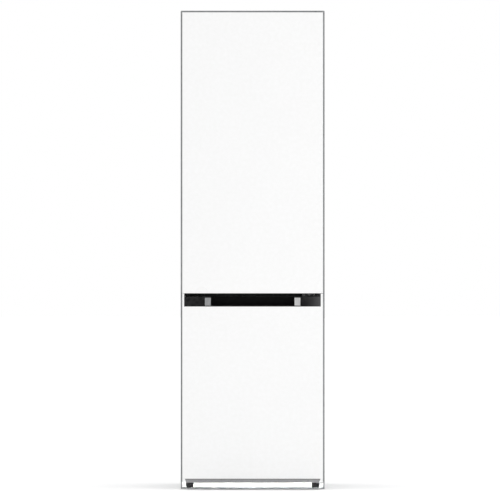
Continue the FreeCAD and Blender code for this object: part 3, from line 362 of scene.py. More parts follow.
# nodes that the photo shows unlike others of their material
nodeFinishes = {
    "centre_hinge": hingeZinc, "bottom_hinge": hingeZinc,
    # the grip cap is lighter towards its right end: a painted highlight
    "handle_cap": coatedFinish("gripCapPaintedHighlight", dict(
        blackPlastic, drawn=(0, 0.856, 1.0, 2.0, (0.078, 0.078, 0.080)))),
    # the foot cap is darker along its top: a painted shadow under the door panel
    "foot_cap": coatedFinish("footCapPaintedShadow", dict(
        greyPlastic, drawn=(2, 0.78, 0.84, 1.0, (0.17, 0.17, 0.172)))),
}

for part in frame["record"]["subparts"]:
    shown = frame["nodes"][part["node"]]
    shown.data.materials.clear()
    shown.data.materials.append(nodeFinishes.get(part["node"], finishes[part["material_slot"]]))
print("finishes given", len(finishes) + len(nodeFinishes))


# shape helpers

def roundedLoop(left, low, right, high, radius, steps=6):
    # corner points of a rounded rectangle, anticlockwise
    points = []
    for cornerX, cornerY, start in ((right - radius, low + radius, -90), (right - radius, high - radius, 0),
                                    (left + radius, high - radius, 90), (left + radius, low + radius, 180)):
        for step in range(steps + 1):
            turn = math.radians(start + 90 * step / steps)
            points.append((cornerX + radius * math.cos(turn), cornerY + radius * math.sin(turn)))
    return points


def grown(loop, distance):
    # the loop moved outwards, each point along the mean of its two sides' normals
    moved = []
    for index, (across, up) in enumerate(loop):
        before, after = loop[index - 1], loop[(index + 1) % len(loop)]
        first = Vector((up - before[1], before[0] - across)).normalized()
        second = Vector((after[1] - up, across - after[0])).normalized()
        out = (first + second).normalized()
        out *= distance / max(0.3, out.dot(first))
        moved.append((across + out.x, up + out.y))
    return moved


def placed(plane, across, up, height):
    return {"XZ": (across, height, up), "XY": (across, up, height), "YZ": (height, across, up)}[plane]


meshing = {"merge": 1e-7, "join": 1e-6, "angle": 50, "bevelledAngle": 35, "bevelSegments": 2, "bevelFrom": 30}


def makePiece(name, shape, slotName, body, bevel=0.0, angle=meshing["angle"], finish=None):
    bmesh.ops.remove_doubles(shape, verts=shape.verts, dist=meshing["merge"])
    bmesh.ops.recalc_face_normals(shape, faces=shape.faces)
    mesh = bpy.data.meshes.new(name)
    shape.to_mesh(mesh)
    shape.free()
    piece = bpy.data.objects.new(name, mesh)
    bpy.context.collection.objects.link(piece)
    mesh.materials.append(finish or finishes[slotName])
    for face in mesh.polygons:
        face.use_smooth = True
    mesh.set_sharp_from_angle(angle=math.radians(meshing["bevelledAngle"] if bevel else angle))
    if bevel:
        edges = piece.modifiers.new("roundedEdges", "BEVEL")
        edges.width = bevel
        edges.segments = meshing["bevelSegments"]
        edges.limit_method = "ANGLE"
        edges.angle_limit = math.radians(meshing["bevelFrom"])
        edges.harden_normals = True
    else:
        piece.modifiers.new("evenNormals", "WEIGHTED_NORMAL").keep_sharp = True
    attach(piece, body)
    return piece


def joinRings(shape, rings, capped=True):
    for first, second in zip(rings, rings[1:]):
        for index in range(len(first)):
            after = (index + 1) % len(first)
            shape.faces.new((first[index], first[after], second[after], second[index]))
    if capped:
        shape.faces.new(rings[0])
        shape.faces.new(rings[-1])


def sweepLoop(shape, loop, section, plane, base=0.0, filled=False):
    # a section of (outwards, height over base) points carried round a loop
    rings = [[shape.verts.new(placed(plane, across, up, base + height)) for across, up in grown(loop, out)]
             for out, height in section]
    joinRings(shape, rings if filled else rings + rings[:1], filled)
    return shape


def sweepBar(shape, section, base, start, end):
    # a (y, z) section placed at base and drawn out along x
    joinRings(shape, [[shape.verts.new((place, base[0] + across, base[1] + up)) for across, up in section]
                      for place in (start, end)])


def turnProfile(shape, profile, centre, plane, steps):
    # (radius, height) points turned about the normal of a plane through centre
    rings = []
    for radius, height in profile:
        ring = []
        for step in range(steps if radius else 1):
            turn = math.tau * step / steps
            offset = placed(plane, radius * math.cos(turn), radius * math.sin(turn), height)
            ring.append(shape.verts.new(Vector(centre) + Vector(offset)))
        rings.append(ring)
    for first, second in zip(rings, rings[1:]):
        for step in range(steps):
            after = (step + 1) % steps
            corners = [first[step % len(first)], first[after % len(first)],
                       second[after % len(second)], second[step % len(second)]]
            shape.faces.new(list(dict.fromkeys(corners)))
    for ring in (rings[0], rings[-1]):
        if len(ring) > 2:
            shape.faces.new(ring)
    return shape


def addBlock(shape, low, high):
    made = bmesh.ops.create_cube(shape, size=1.0)
    for vert in made["verts"]:
        vert.co = [lowest + (part + 0.5) * (highest - lowest)
                   for part, lowest, highest in zip(vert.co, low, high)]


pipeShape = {"bend": 0.012, "sides": 5, "steps": 10, "mostShare": 0.45, "pullShare": 0.55,
             "straightShare": 0.3}


def tubeAlong(name, points, radius, slotName, body, bend=pipeShape["bend"]):
    # a bent pipe with rounded corners
    curve = bpy.data.curves.new(name, "CURVE")
    curve.dimensions = "3D"
    curve.bevel_depth = radius
    curve.bevel_resolution, curve.resolution_u = pipeShape["sides"], pipeShape["steps"]
    spline = curve.splines.new("BEZIER")
    points = [Vector(point) for point in points]
    route = points[:1]
    for before, here, after in zip(points, points[1:], points[2:]):
        toBefore, toAfter = before - here, after - here
        reach = min(bend, pipeShape["mostShare"] * toBefore.length, pipeShape["mostShare"] * toAfter.length)
        route += [here + toBefore.normalized() * reach, here + toAfter.normalized() * reach]
    route.append(points[-1])
    spline.bezier_points.add(len(route) - 1)
    for index, point in enumerate(route):
        knot = spline.bezier_points[index]
        knot.co = point
        ahead = route[min(index + 1, len(route) - 1)] - point
        back = route[max(index - 1, 0)] - point
        atCorner = 0 < index < len(route) - 1
        turnAhead = atCorner and index % 2 == 1
        curved, straight = (ahead, back) if turnAhead else (back, ahead)
        pull = curved.length * pipeShape["pullShare"]
        into = point + (-straight.normalized() * pull if atCorner else curved * pipeShape["straightShare"])
        out = point + straight * pipeShape["straightShare"]
        knot.handle_right, knot.handle_left = (into, out) if turnAhead else (out, into)
    piece = bpy.data.objects.new(name, curve)
    bpy.context.collection.objects.link(piece)
    curve.materials.append(finishes[slotName])
    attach(piece, body)


def islandBoxes(node):
    # lowest and highest corner of each loose part of a node
    shape = bmesh.new()
    shape.from_mesh(frame["nodes"][node].data)
    bmesh.ops.remove_doubles(shape, verts=shape.verts, dist=meshing["join"])
    left, found = set(shape.verts), []
    while left:
        reached, waiting = set(), [left.pop()]
        while waiting:
            vert = waiting.pop()
            reached.add(vert)
            for edge in vert.link_edges:
                other = edge.other_vert(vert)
                if other in left:
                    left.discard(other)
                    waiting.append(other)
        found.append([[pick(vert.co[axis] for vert in reached) for axis in range(3)] for pick in (min, max)])
    shape.free()
    return sorted(found)


# door seals: a bellows strip with a magnet channel against the cabinet

sealShape = {
    "steps": 5, "corner": 0.010, "lift": 0.0003,
    "section": ((-0.0135, 0.0), (-0.0135, 0.0014), (-0.0100, 0.0022), (-0.0128, 0.0036), (-0.0102, 0.0050),
                (-0.0128, 0.0062), (-0.0128, 0.0094), (-0.0118, 0.0097), (-0.0022, 0.0097), (-0.0012, 0.0094),
                (-0.0012, 0.0062), (-0.0038, 0.0050), (-0.0012, 0.0036), (-0.0040, 0.0022), (-0.0005, 0.0014),
                (-0.0005, 0.0))}


def buildSeal(node, body):
    low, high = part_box(node)
    loop = roundedLoop(low.x, low.z, high.x, high.z, sealShape["corner"], sealShape["steps"])
    shape = sweepLoop(bmesh.new(), loop, sealShape["section"], "XZ", low.y + sealShape["lift"])
    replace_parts(makePiece(node + "_bellows", shape, "seal_rubber", body), node)


buildSeal("upper_door_seal", "upper_door")
buildSeal("lower_door_seal", "lower_door")
print("seals made")


# hinge screws with a dished head and a cross slot

screwShape = {
    "slotWidth": 0.0011, "slotReach": 0.0026, "slotFront": 0.00012, "slotDepth": 0.0011, "slotBevel": 0.0002,
    "head": ((0.0, 0.0004), (0.3, 0.0004), (0.75, 0.0001), (0.95, 0.0007), (1.0, 0.0016), (0.98, 0.0020)),
    "headSteps": 28, "shankShare": 0.5, "shankSteps": 16}


def buildScrews():
    heads, slots = bmesh.new(), bmesh.new()
    half, reach = screwShape["slotWidth"] / 2, screwShape["slotReach"]
    for low, high in islandBoxes("hinge_screws"):
        x, front, z = (low[0] + high[0]) / 2, low[1], (low[2] + high[2]) / 2
        radius = (high[0] - low[0]) / 2
        head = [(radius * share, deep) for share, deep in screwShape["head"]]
        turnProfile(heads, head, (x, front, z), "XZ", screwShape["headSteps"])
        shank = radius * screwShape["shankShare"]
        shank = [(shank, head[-1][1]), (shank, high[1] - front)]
        turnProfile(heads, shank, (x, front, z), "XZ", screwShape["shankSteps"])
        # each cross slot is a block of dark steel: painted shade in the recess
        for along, across in ((reach, half), (half, reach)):
            addBlock(slots, (x - along, front + screwShape["slotFront"], z - across),
                     (x + along, front + screwShape["slotDepth"], z + across))
    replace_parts(makePiece("hinge_screw_heads", heads, "bright_screw", "cabinet", angle=40), "hinge_screws")
    makePiece("hinge_screw_slot_shade", slots, "black_steel", "cabinet", bevel=screwShape["slotBevel"])


buildScrews()
print("screws made")


# brushed plates at the ends of the grip

plateShape = {"corner": 0.0008, "edge": 0.0004, "edgeShare": 0.3, "turn": 0.0004, "back": 0.0002}


def buildGripPlates():
    edge, edgeShare = plateShape["edge"], plateShape["edgeShare"]
    for low, high in islandBoxes("grip_plates"):
        side = "right" if low[0] > 0 else "left"
        loop = roundedLoop(low[0], low[2], high[0], high[2], plateShape["corner"], steps=3)
        profile = [(0.0, high[1]), (0.0, low[1] + edge), (-edge * edgeShare, low[1] + edge * edgeShare),
                   (-edge, low[1])]
        shape = sweepLoop(bmesh.new(), loop, profile, "XZ", filled=True)
        # the outer edge lies a little deeper than the one at the grip
        for vert in shape.verts:
            share = (abs(vert.co.x) - min(abs(low[0]), abs(high[0]))) / (high[0] - low[0])
            if vert.co.y < high[1] - plateShape["back"]:
                vert.co.y += plateShape["turn"] * share
        # the right plate takes the lighter copy of the aluminium: a painted highlight
        piece = makePiece(f"grip_plate_{side}", shape, "satin_aluminium", "lower_door",
                          finish=paintedHighlightAluminium if side == "right" else None)
        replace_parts(piece, "grip_plates")


# a dark matt sheet on the back wall of the grip hollow: painted shade that darkens the hollow

shadeSheetShape = {"side": 0.0005, "below": 0.0012, "above": 0.0004, "corner": 0.0012, "off": 0.0010,
               "section": ((0.0, 0.0002), (0.0, -0.0004), (-0.0003, -0.0007))}


def buildGripShadeSheet():
    openings = frame["record"]["physics"]["openings"]
    low, high = next(item["box_m"] for item in openings if item["name"] == "grip_recess")
    side = shadeSheetShape["side"]
    loop = roundedLoop(low[0] + side, low[2] - shadeSheetShape["below"], high[0] - side,
                       high[2] - shadeSheetShape["above"], shadeSheetShape["corner"], steps=3)
    shape = sweepLoop(bmesh.new(), loop, shadeSheetShape["section"], "XZ", high[1] + shadeSheetShape["off"], True)
    makePiece("grip_shade_sheet", shape, "black_plastic", "lower_door", finish=paintedShadeBlack)


buildGripPlates()
buildGripShadeSheet()
print("grip plates made")


# glass shelves: a rounded trim along the front edge and a low bar at the back

fridgeShelves = ("crisper_cover_shelf", "glass_shelf_1", "glass_shelf_2", "glass_shelf_3")
shelfTrim = {
    "front": ((-0.0050, -0.0035), (-0.0050, 0.0040), (-0.0030, 0.0062), (0.0010, 0.0066), (0.0090, 0.0052),
              (0.0110, 0.0042), (0.0110, 0.0040), (0.0004, 0.0040), (0.0004, -0.0002), (0.0100, -0.0002),
              (0.0100, -0.0026), (0.0000, -0.0035)),
    "back": ((-0.0080, 0.0040), (-0.0080, 0.0052), (-0.0040, 0.0100), (-0.0008, 0.0100), (-0.0008, 0.0040)),
    "freezer": ((0.0, 0.0), (-0.0026, 0.0006), (-0.0030, 0.0024), (-0.0026, 0.0038), (0.0, 0.0040)),
    "freezerGlass": 0.004, "endGap": 0.0002, "bevel": 0.0006, "freezerBevel": 0.0003}


def buildShelfTrims():
    gap = shelfTrim["endGap"]
    for node in fridgeShelves:
        low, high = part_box(node)
        shape = bmesh.new()
        for edge, place in (("front", low.y), ("back", high.y)):
            sweepBar(shape, shelfTrim[edge], (place, low.z), low.x + gap, high.x - gap)
        makePiece(node + "_trim", shape, "white_plastic", "cabinet", bevel=shelfTrim["bevel"])
    low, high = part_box("freezer_shelves")
    shape = bmesh.new()
    for base in (low.z, high.z - shelfTrim["freezerGlass"]):
        sweepBar(shape, shelfTrim["freezer"], (low.y, base), low.x + gap, high.x - gap)
    makePiece("freezer_shelf_trims", shape, "white_plastic", "cabinet", bevel=shelfTrim["freezerBevel"])


# ledges moulded on the side walls, one under each end of each shelf

ledgeShape = {"high": 0.0080, "below": 0.0004, "front": -0.118, "back": 0.236, "round": 0.0036,
              "wallGap": 0.0010,
              "section": ((0.0, 0.0003), (0.0, -0.0073), (-0.0004, -0.0081), (-0.0012, -0.0085))}


def buildLedges():
    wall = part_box("glass_shelf_1")[1].x + ledgeShape["wallGap"]
    for side, name in ((-1, "shelf_ledges_left"), (1, "shelf_ledges_right")):
        shape = bmesh.new()
        section = [(out, side * (wall + reach)) for out, reach in ledgeShape["section"]]
        for node in fridgeShelves:
            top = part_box(node)[0].z - ledgeShape["below"]
            loop = roundedLoop(ledgeShape["front"], top - ledgeShape["high"], ledgeShape["back"], top,
                               ledgeShape["round"], steps=5)
            sweepLoop(shape, loop, section, "YZ", filled=True)
        makePiece(name, shape, "white_plastic", "cabinet")


buildShelfTrims()
buildLedges()
print("shelf trims and ledges made")


# door bins: a rolled rim and two soft waves across the front

binShape = {
    "off": 0.0002, "corner": 0.0118, "waves": (0.022, 0.050), "waveInset": 0.016,
    "rim": ((0.0002, -0.0070), (0.0002, -0.0012), (-0.0004, 0.0002), (-0.0014, 0.0008), (-0.0024, 0.0002),
            (-0.0029, -0.0008), (-0.0029, -0.0016), (-0.0024, -0.0024), (-0.0024, -0.0070)),
    "wave": ((0.0, 0.0), (0.0003, 0.0010), (0.0003, 0.0022), (0.0, 0.0032), (-0.0006, 0.0032),
             (-0.0006, 0.0))}


def buildBins():
    off, inset = binShape["off"], binShape["waveInset"]
    for number in (1, 2, 3, 4):
        node = f"door_bin_{number}"
        low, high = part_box(node)
        path = roundedLoop(low.x + off, low.y + off, high.x - off, high.y - off, binShape["corner"], steps=8)
        # two corners of the rim are rounded, the others square
        path = [point if point[1] > (low.y + high.y) / 2 else
                (math.copysign(high.x - off, point[0]), low.y + off) for point in path]
        path = [point for index, point in enumerate(path) if point != path[index - 1]]
        shape = bmesh.new()
        sweepLoop(shape, path, binShape["rim"], "XY", high.z)
        for up in binShape["waves"]:
            sweepBar(shape, binShape["wave"], (high.y, low.z + up), low.x + inset, high.x - inset)
        makePiece(node + "_rim", shape, "clear_plastic", node)


# crispers and drawers: a raised frame round the lower part of the front

trayShape = {
    "inset": 0.020, "corner": 0.012, "crisperLip": 0.012, "belowCrisperTop": 0.032, "belowDrawerTop": 0.044,
    "section": ((0.0, 0.0004), (0.0, -0.00096), (-0.0008, -0.0016), (-0.0042, -0.0016), (-0.0050, -0.00096),
                (-0.0050, 0.0004))}


def buildTrayFronts():
    inset = trayShape["inset"]
    for node in ("crisper_left", "crisper_right", "freezer_drawer_bottom", "freezer_drawer_middle",
                 "freezer_drawer_top"):
        low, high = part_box(node)
        crisper = node.startswith("crisper")
        face = low.y + (trayShape["crisperLip"] if crisper else 0.0)
        top = high.z - trayShape["belowCrisperTop" if crisper else "belowDrawerTop"]
        loop = roundedLoop(low.x + inset, low.z + inset, high.x - inset, top, trayShape["corner"])
        shape = sweepLoop(bmesh.new(), loop, trayShape["section"], "XZ", face)
        makePiece(node + "_front_frame", shape, "clear_plastic", node)


buildBins()
buildTrayFronts()
print("bins and trays made")


# lamp: a bezel and a ribbed lens face

lampShape = {
    "ribs": 15, "inset": 0.004, "reach": 0.0008, "ribShare": 0.42, "ribBack": 0.0004, "archSteps": 6,
    "bezelOut": 0.004, "bezelCorner": 0.007,
    "bezel": ((0.0, -0.0002), (0.0, -0.0040), (-0.0016, -0.0056), (-0.0037, -0.0056), (-0.0037, -0.0002))}


def buildLampParts():
    low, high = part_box("lamp_lens")
    out = lampShape["bezelOut"]
    loop = roundedLoop(low.x - out, low.y - out, high.x + out, high.y + out, lampShape["bezelCorner"])
    bezel = sweepLoop(bmesh.new(), loop, lampShape["bezel"], "XY", high.z)
    makePiece("lamp_bezel", bezel, "white_plastic", "cabinet")
    ribs = bmesh.new()
    inset, steps = lampShape["inset"], lampShape["archSteps"]
    pitch = (high.y - low.y - inset * 2) / lampShape["ribs"]
    half, back = pitch * lampShape["ribShare"], lampShape["ribBack"]
    section = [(-math.cos(turn) * half, -math.sin(turn) * lampShape["reach"])
               for turn in [math.pi * step / steps for step in range(steps + 1)]]
    section += [(half, back), (-half, back)]
    for index in range(lampShape["ribs"]):
        middle = low.y + inset + pitch * (index + 0.5)
        sweepBar(ribs, section, (middle, low.z), low.x + inset, high.x - inset)
    makePiece("lamp_lens_ribs", ribs, "lamp_plastic", "cabinet")


# air duct: upright blades in each of its slots

ductShape = {"slotHalf": 0.075, "faceDepth": 0.0005, "blades": 7, "span": 0.048, "thick": 0.0012,
             "front": 0.0006, "deep": 0.0060, "overlap": 0.0003, "bevel": 0.0003}


def buildDuctBlades():
    node = "fridge_air_duct"
    low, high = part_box(node)
    face = low.y + ductShape["faceDepth"]
    levels = sorted({round(vert.co.z, 4) for vert in frame["nodes"][node].data.vertices
                     if abs(vert.co.x) < ductShape["slotHalf"] and vert.co.y < face})
    half, span, overlap = ductShape["thick"] / 2, ductShape["span"], ductShape["overlap"]
    shape = bmesh.new()
    for bottom, top in zip(levels[::2], levels[1::2]):
        for blade in range(ductShape["blades"]):
            across = -span + 2 * span * blade / (ductShape["blades"] - 1)
            addBlock(shape, (across - half, low.y + ductShape["front"], bottom - overlap),
                     (across + half, low.y + ductShape["deep"], top + overlap))
    makePiece("duct_blades", shape, "white_plastic", "cabinet", bevel=ductShape["bevel"])


buildLampParts()
buildDuctBlades()
print("lamp parts made")


# lower door: its white sides run past the ends of the black cap and of the grey strip

sideShape = {
    "foremost": 0.0002, "round": 0.0022, "bevel": 0.0006, "inside": 0.0002, "above": 0.0122,
    "overCap": 0.0018, "footLean": 0.0070, "tongueInside": 0.0034, "tongueDeep": 0.0024,
    "behindTongue": 0.0001, "hingeAbove": 0.0043, "hingeRound": 0.0004, "hingeBevel": 0.0003, "roundSteps": 5}


def addSide(name, inner, outer, depths, heights, lean=0.0, corner=sideShape["round"],
            bevel=sideShape["bevel"]):
    # an upright bar whose outer front edge is rounded and whose inner side can lean inwards below
    front, back = depths
    side = 1 if outer > inner else -1
    steps = sideShape["roundSteps"]
    outline = [(inner, back), (inner, front)]
    outline += [(outer - side * corner * (1 - math.sin(turn)), front + corner * (1 - math.cos(turn)))
                for turn in [math.pi / 2 * step / steps for step in range(steps + 1)]]
    outline += [(outer, back)]
    shape = bmesh.new()
    rings = [[shape.verts.new((x - side * shift * (x == inner), y, z)) for x, y in outline]
             for z, shift in zip(heights, (lean, 0.0))]
    joinRings(shape, rings)
    makePiece(name, shape, "white_paint", "lower_door", bevel=bevel)


def buildDoorSides():
    panelLow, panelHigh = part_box("lower_door_panel")
    front, back = panelLow.y + sideShape["foremost"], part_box("lower_door_liner")[0].y
    whole, tongue = (front, back), (front, front + sideShape["tongueDeep"])
    inside, lean = sideShape["inside"], sideShape["footLean"]
    capLow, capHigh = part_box("handle_cap")
    above = (panelHigh.z, capHigh.z + sideShape["above"])
    addSide("cap_side_left", capLow.x + sideShape["overCap"], panelLow.x, whole, above)
    # only a thin tongue can pass in front of a hinge arm
    addSide("cap_side_right", capHigh.x + inside, panelHigh.x, (tongue[1] + sideShape["behindTongue"], back),
            (panelHigh.z, capHigh.z + sideShape["hingeAbove"]), 0.0, sideShape["hingeRound"],
            sideShape["hingeBevel"])
    addSide("cap_tongue_right", capHigh.x - sideShape["tongueInside"], panelHigh.x, tongue, above)
    footLow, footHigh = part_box("foot_cap")
    below = (footLow.z, panelLow.z)
    addSide("foot_side_left", footLow.x - inside, panelLow.x, whole, below, lean)
    addSide("foot_tongue_right", footHigh.x + inside, panelHigh.x, tongue, below, lean)


# beam cover: screw heads at the end away from the hinge

beamShape = {"screws": (-0.272, -0.262, -0.228), "radius": 0.0030, "steps": 20,
             "head": ((0.0, -0.0008), (0.6, -0.0009), (1.0, -0.0004), (1.0, 0.0004))}


def buildBeamScrews():
    low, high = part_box("beam_cover")
    head = [(beamShape["radius"] * share, deep) for share, deep in beamShape["head"]]
    shape = bmesh.new()
    for place in beamShape["screws"]:
        turnProfile(shape, head, (place, low.y, (low.z + high.z) / 2), "XZ", beamShape["steps"])
    makePiece("beam_cover_screws", shape, "black_steel", "cabinet")


buildDoorSides()
buildBeamScrews()
print("door sides made")


# feet: a fluted hand wheel round each stem

wheelShape = {
    "radius": 0.0153, "low": 0.0085, "high": 0.0290, "edge": 0.0012, "flutes": 22, "fluteDeep": 0.0009,
    "steps": 176, "bottom": ((-0.004, 0.0), (-0.00072, 0.0), (0.0, 0.00072)),
    "top": ((0.0, -0.00168), (-0.00048, -0.0006), (-0.00168, 0.0)),
    "collar": ((0.0075, 0.0), (0.0065, -0.0010), (0.0052, -0.0010), (0.0052, -0.0040))}


def buildFootWheels():
    low, high, edge, radius = (wheelShape[key] for key in ("low", "high", "edge", "radius"))
    profile = [(radius + out, low + up) for out, up in wheelShape["bottom"]]
    profile += [(radius + out, high + up) for out, up in wheelShape["top"]]
    profile += [(across, high + up) for across, up in wheelShape["collar"]]
    for node in ("front_foot_left", "front_foot_right"):
        boxLow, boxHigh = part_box(node)
        centre = ((boxLow.x + boxHigh.x) / 2, (boxLow.y + boxHigh.y) / 2, 0.0)
        shape = turnProfile(bmesh.new(), profile, centre, "XY", wheelShape["steps"])
        for vert in shape.verts:
            across, along = vert.co.x - centre[0], vert.co.y - centre[1]
            reach = math.hypot(across, along)
            if reach > radius - edge:
                wave = 0.5 - 0.5 * math.cos(wheelShape["flutes"] * math.atan2(along, across))
                scale = (reach - wheelShape["fluteDeep"] * wave ** 2) / reach
                vert.co.x, vert.co.y = centre[0] + across * scale, centre[1] + along * scale
        makePiece(node + "_wheel", shape, "black_plastic", node)


# rollers: a hub and a ring on both faces

rollerShape = {
    "half": 0.008, "hubSteps": 36, "ringSteps": 48,
    "hub": ((0.0062, -0.0006), (0.0062, 0.00042), (0.0058, 0.0006), (0.0031, 0.0006), (0.0031, -0.0006)),
    "ring": ((0.0035, -0.0004), (0.0033, 0.0004), (0.0018, 0.0004), (0.0016, -0.0004))}


def buildRollerParts():
    for node in ("rear_roller_left", "rear_roller_right"):
        low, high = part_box(node)
        centre = (low + high) / 2
        radius = (high.z - low.z) / 2
        shape = bmesh.new()
        for side in (-1, 1):
            face = side * rollerShape["half"]
            hub = [(reach, face + side * out) for reach, out in rollerShape["hub"]]
            turnProfile(shape, hub, centre, "YZ", rollerShape["hubSteps"])
            ring = [(radius - inward, face + side * out) for inward, out in rollerShape["ring"]]
            turnProfile(shape, ring, centre, "YZ", rollerShape["ringSteps"])
        makePiece(node + "_hub", shape, "grey_plastic", node)


buildFootWheels()
buildRollerParts()
print("wheels and hubs made")


# machine compartment: seam and terminal cover of the compressor, and its pipes

machineShape = {
    "seamShare": 0.52, "seamSteps": 64,
    "seam": ((-0.001, -0.00225), (0.00154, -0.0018), (0.0022, 0.0), (0.00154, 0.0018), (-0.001, 0.00225)),
    "coverHalf": 0.023, "coverBelow": 0.039, "coverAbove": 0.013, "coverCorner": 0.005,
    "cover": ((0.0, 0.012), (0.0, -0.019), (-0.001, -0.0212), (-0.003, -0.022)),
    "discharge": ((-0.030, -0.018, -0.012), (-0.030, -0.018, 0.022), (-0.095, -0.030, 0.022)),
    "descent": ((-0.150, -0.045, -0.010),), "toCoil": ((0.030, -0.003, -0.020), (-0.012, -0.003, -0.020)),
    "suction": ((0.026, -0.034, -0.014), (0.026, -0.034, 0.030), (0.026, -0.100, 0.030)),
    "suctionEnd": ((0.026, -0.100, 0.2884),),
    "process": ((0.034, 0.022, -0.016), (0.034, 0.022, 0.018), (0.062, 0.022, 0.030)),
    "pipe": 0.0031, "thinPipe": 0.0022, "thinBend": 0.008}


def shifted(base, offsets):
    return [[start + step for start, step in zip(base, offset)] for offset in offsets]


def buildCompressorParts():
    low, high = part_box("compressor")
    x, y, radius = (low.x + high.x) / 2, (low.y + high.y) / 2, (high.y - low.y) / 2
    middle = low.z + (high.z - low.z) * machineShape["seamShare"]
    seam = [(radius + out, up) for out, up in machineShape["seam"]]
    shape = turnProfile(bmesh.new(), seam, (x, y, middle), "XY", machineShape["seamSteps"])
    makePiece("compressor_seam", shape, "black_steel", "cabinet", angle=60)
    # the terminal cover is on the side that faces the middle of the fridge
    half = machineShape["coverHalf"]
    loop = roundedLoop(y - half, middle - machineShape["coverBelow"], y + half,
                       middle + machineShape["coverAbove"], machineShape["coverCorner"], steps=4)
    shape = sweepLoop(bmesh.new(), loop, machineShape["cover"], "YZ", x - radius, True)
    makePiece("terminal_cover", shape, "grey_plastic", "cabinet")
    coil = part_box("condenser_coil")[1]
    crown, pipe = (x, y, high.z), machineShape["pipe"]
    discharge = (shifted(crown, machineShape["discharge"]) + shifted((x, y, coil.z), machineShape["descent"])
                 + shifted(coil, machineShape["toCoil"]))
    tubeAlong("discharge_pipe", discharge, pipe, "coil_black", "cabinet")
    suction = shifted(crown, machineShape["suction"]) + shifted((x, y, 0.0), machineShape["suctionEnd"])
    tubeAlong("suction_pipe", suction, pipe, "coil_black", "cabinet")
    tubeAlong("process_tube", shifted(crown, machineShape["process"]), machineShape["thinPipe"], "coil_black",
              "cabinet", machineShape["thinBend"])


pinShape = {"places": ((-0.007, -0.003), (0.007, -0.003), (0.0, 0.004)), "halfWide": 0.0010,
            "halfTall": 0.0020, "front": 0.002, "back": 0.004, "bevel": 0.0005}


def buildInletPins():
    low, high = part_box("power_inlet")
    wide, tall = pinShape["halfWide"], pinShape["halfTall"]
    shape = bmesh.new()
    for across, up in pinShape["places"]:
        x, z = (low.x + high.x) / 2 + across, (low.z + high.z) / 2 + up
        addBlock(shape, (x - wide, low.y + pinShape["front"], z - tall),
                 (x + wide, high.y - pinShape["back"], z + tall))
    makePiece("inlet_pins", shape, "bright_screw", "cabinet", bevel=pinShape["bevel"])


lidShape = {"inset": 0.006, "corner": 0.004, "screwInset": 0.016, "screwSteps": 20,
            "section": ((0.0, -0.0004), (0.0, 0.0012), (-0.001, 0.0022), (-0.003, 0.0026)),
            "screw": ((0.0, 0.0042), (0.0022, 0.0042), (0.0032, 0.0036), (0.0034, 0.0024))}


def buildControlLid():
    low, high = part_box("control_box")
    inset, screwInset = lidShape["inset"], lidShape["screwInset"]
    loop = roundedLoop(low.x + inset, low.z + inset, high.x - inset, high.z - inset, lidShape["corner"],
                       steps=4)
    shape = sweepLoop(bmesh.new(), loop, lidShape["section"], "XZ", high.y, True)
    makePiece("control_box_lid", shape, "grey_plastic", "cabinet")
    shape = bmesh.new()
    for across in (low.x + screwInset, high.x - screwInset):
        turnProfile(shape, lidShape["screw"], (across, high.y, (low.z + high.z) / 2), "XZ",
                    lidShape["screwSteps"])
    makePiece("control_box_screws", shape, "bright_screw", "cabinet")


buildCompressorParts()
buildInletPins()
buildControlLid()
print("machine parts made")


# floor, light and camera

studio = {
    "floorColour": (0.96, 0.96, 0.96), "floorRadius": 60.0, "floorSides": 96, "floorLift": 0.16,
    "floorGrain": 0.004, "floorDrift": 1.5, "floorShade": 0.995, "floorRough": (0.85, 0.9),
    "skyLevel": 1.005, "dimTowardsCamera": 0.05, "dimFrom": -0.6, "dimTo": 0.1,
    "lampPlace": (2.2, -3.6, 1.3), "lampTarget": (0.0, -0.3, 1.0), "lampSize": 1.8, "lampPower": 15.0,
    "toePlace": (0.0, -0.62, 0.015), "toeTarget": (0.0, 0.0, 0.017), "toeSize": (0.590, 0.026),
    "toePower": 0.085, "toeSpread": 1.5}


def buildFloor():
    shape = bmesh.new()
    radius, sides = studio["floorRadius"], studio["floorSides"]
    shape.faces.new([shape.verts.new((radius * math.cos(turn), radius * math.sin(turn), 0.0))
                     for turn in [math.tau * step / sides for step in range(sides)]])
    mesh = bpy.data.meshes.new("studioFloor")
    shape.to_mesh(mesh)
    floor = bpy.data.objects.new("studioFloor", mesh)
    bpy.context.collection.objects.link(floor)
    material, tree, shader = newMaterial("floorPale")
    shade = useGroup(tree, fineGrain, {"Grain size": studio["floorGrain"],
                                       "Drift size": studio["floorDrift"]})["Shade"]
    dress(tree, shader, {
        "Base Color": mixed(tree, shade, rgb(studio["floorColour"], studio["floorShade"]),
                            rgb(studio["floorColour"])),
        "Roughness": ranged(tree, shade, *studio["floorRough"]), "Specular IOR Level": 0.0})
    seen = addNode(tree, "ShaderNodeLightPath").outputs["Is Camera Ray"]
    lift = calculated(tree, "MULTIPLY", seen, studio["floorLift"])
    glow = addNode(tree, "ShaderNodeEmission", {"Strength": lift})
    both = addNode(tree, "ShaderNodeAddShader", {0: shader.outputs[0], 1: glow.outputs[0]})
    feed(tree, tree.nodes["Material Output"].inputs[0], both.outputs[0])
    mesh.materials.append(material)


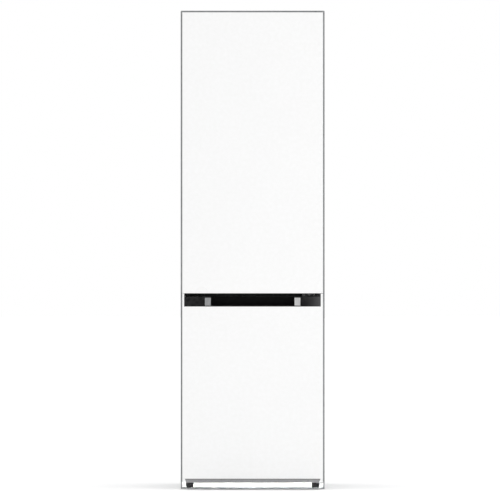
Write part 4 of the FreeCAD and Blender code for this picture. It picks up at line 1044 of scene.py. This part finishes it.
def buildWorld():
    world = bpy.data.worlds.new("paleStudio")
    bpy.context.scene.world = world
    world.use_nodes = True
    tree = world.node_tree
    way = addNode(tree, "ShaderNodeTexCoord").outputs["Generated"]
    sides = addNode(tree, "ShaderNodeSeparateXYZ", {0: way}).outputs
    # shiny faces turned to the front mirror the unlit room, matt ones get even light
    front = ranged(tree, sides[1], studio["dimTowardsCamera"], 1.0, studio["dimFrom"], studio["dimTo"])
    path = addNode(tree, "ShaderNodeLightPath").outputs
    even = (studio["skyLevel"],) * 3 + (1.0,)
    grey = addNode(tree, "ShaderNodeCombineXYZ", {0: front, 1: front, 2: front}).outputs[0]
    shade = mixed(tree, path["Is Glossy Ray"], even, grey)
    straight = calculated(tree, "MAXIMUM", path["Is Camera Ray"], path["Is Transmission Ray"])
    dress(tree, tree.nodes["Background"], {0: mixed(tree, straight, shade, (1.0,) * 4), 1: 1.0})


def addLamp(name, place, target, power):
    light = bpy.data.lights.new(name, "AREA")
    light.energy = power
    lamp = bpy.data.objects.new(name, light)
    lamp.location = place
    lamp.rotation_euler = (Vector(target) - lamp.location).to_track_quat("-Z", "Y").to_euler()
    lamp.visible_glossy = False
    bpy.context.collection.objects.link(lamp)
    return light


def buildLamps():
    soft = addLamp("softLamp", studio["lampPlace"], studio["lampTarget"], studio["lampPower"])
    soft.shape = "DISK"
    soft.size = studio["lampSize"]
    # a low strip that reaches the plinth under the lower door
    toe = addLamp("toeLamp", studio["toePlace"], studio["toeTarget"], studio["toePower"])
    toe.shape = "RECTANGLE"
    toe.size, toe.size_y = studio["toeSize"]
    toe.spread = math.radians(studio["toeSpread"])


view = {"place": (-0.011, -24.0, 0.9973), "lens": 410.0, "sensor": 36.0, "farthest": 200.0}


def buildCamera():
    lens = bpy.data.cameras.new("frontCamera")
    lens.sensor_width, lens.lens, lens.clip_end = view["sensor"], view["lens"], view["farthest"]
    camera = bpy.data.objects.new("frontCamera", lens)
    camera.location = view["place"]
    camera.rotation_euler = (math.pi / 2, 0.0, 0.0)
    bpy.context.collection.objects.link(camera)
    bpy.context.scene.camera = camera


buildFloor()
buildWorld()
buildLamps()
buildCamera()
bpy.context.scene.view_settings.view_transform = "Standard"
print("floor, lamps and camera set")
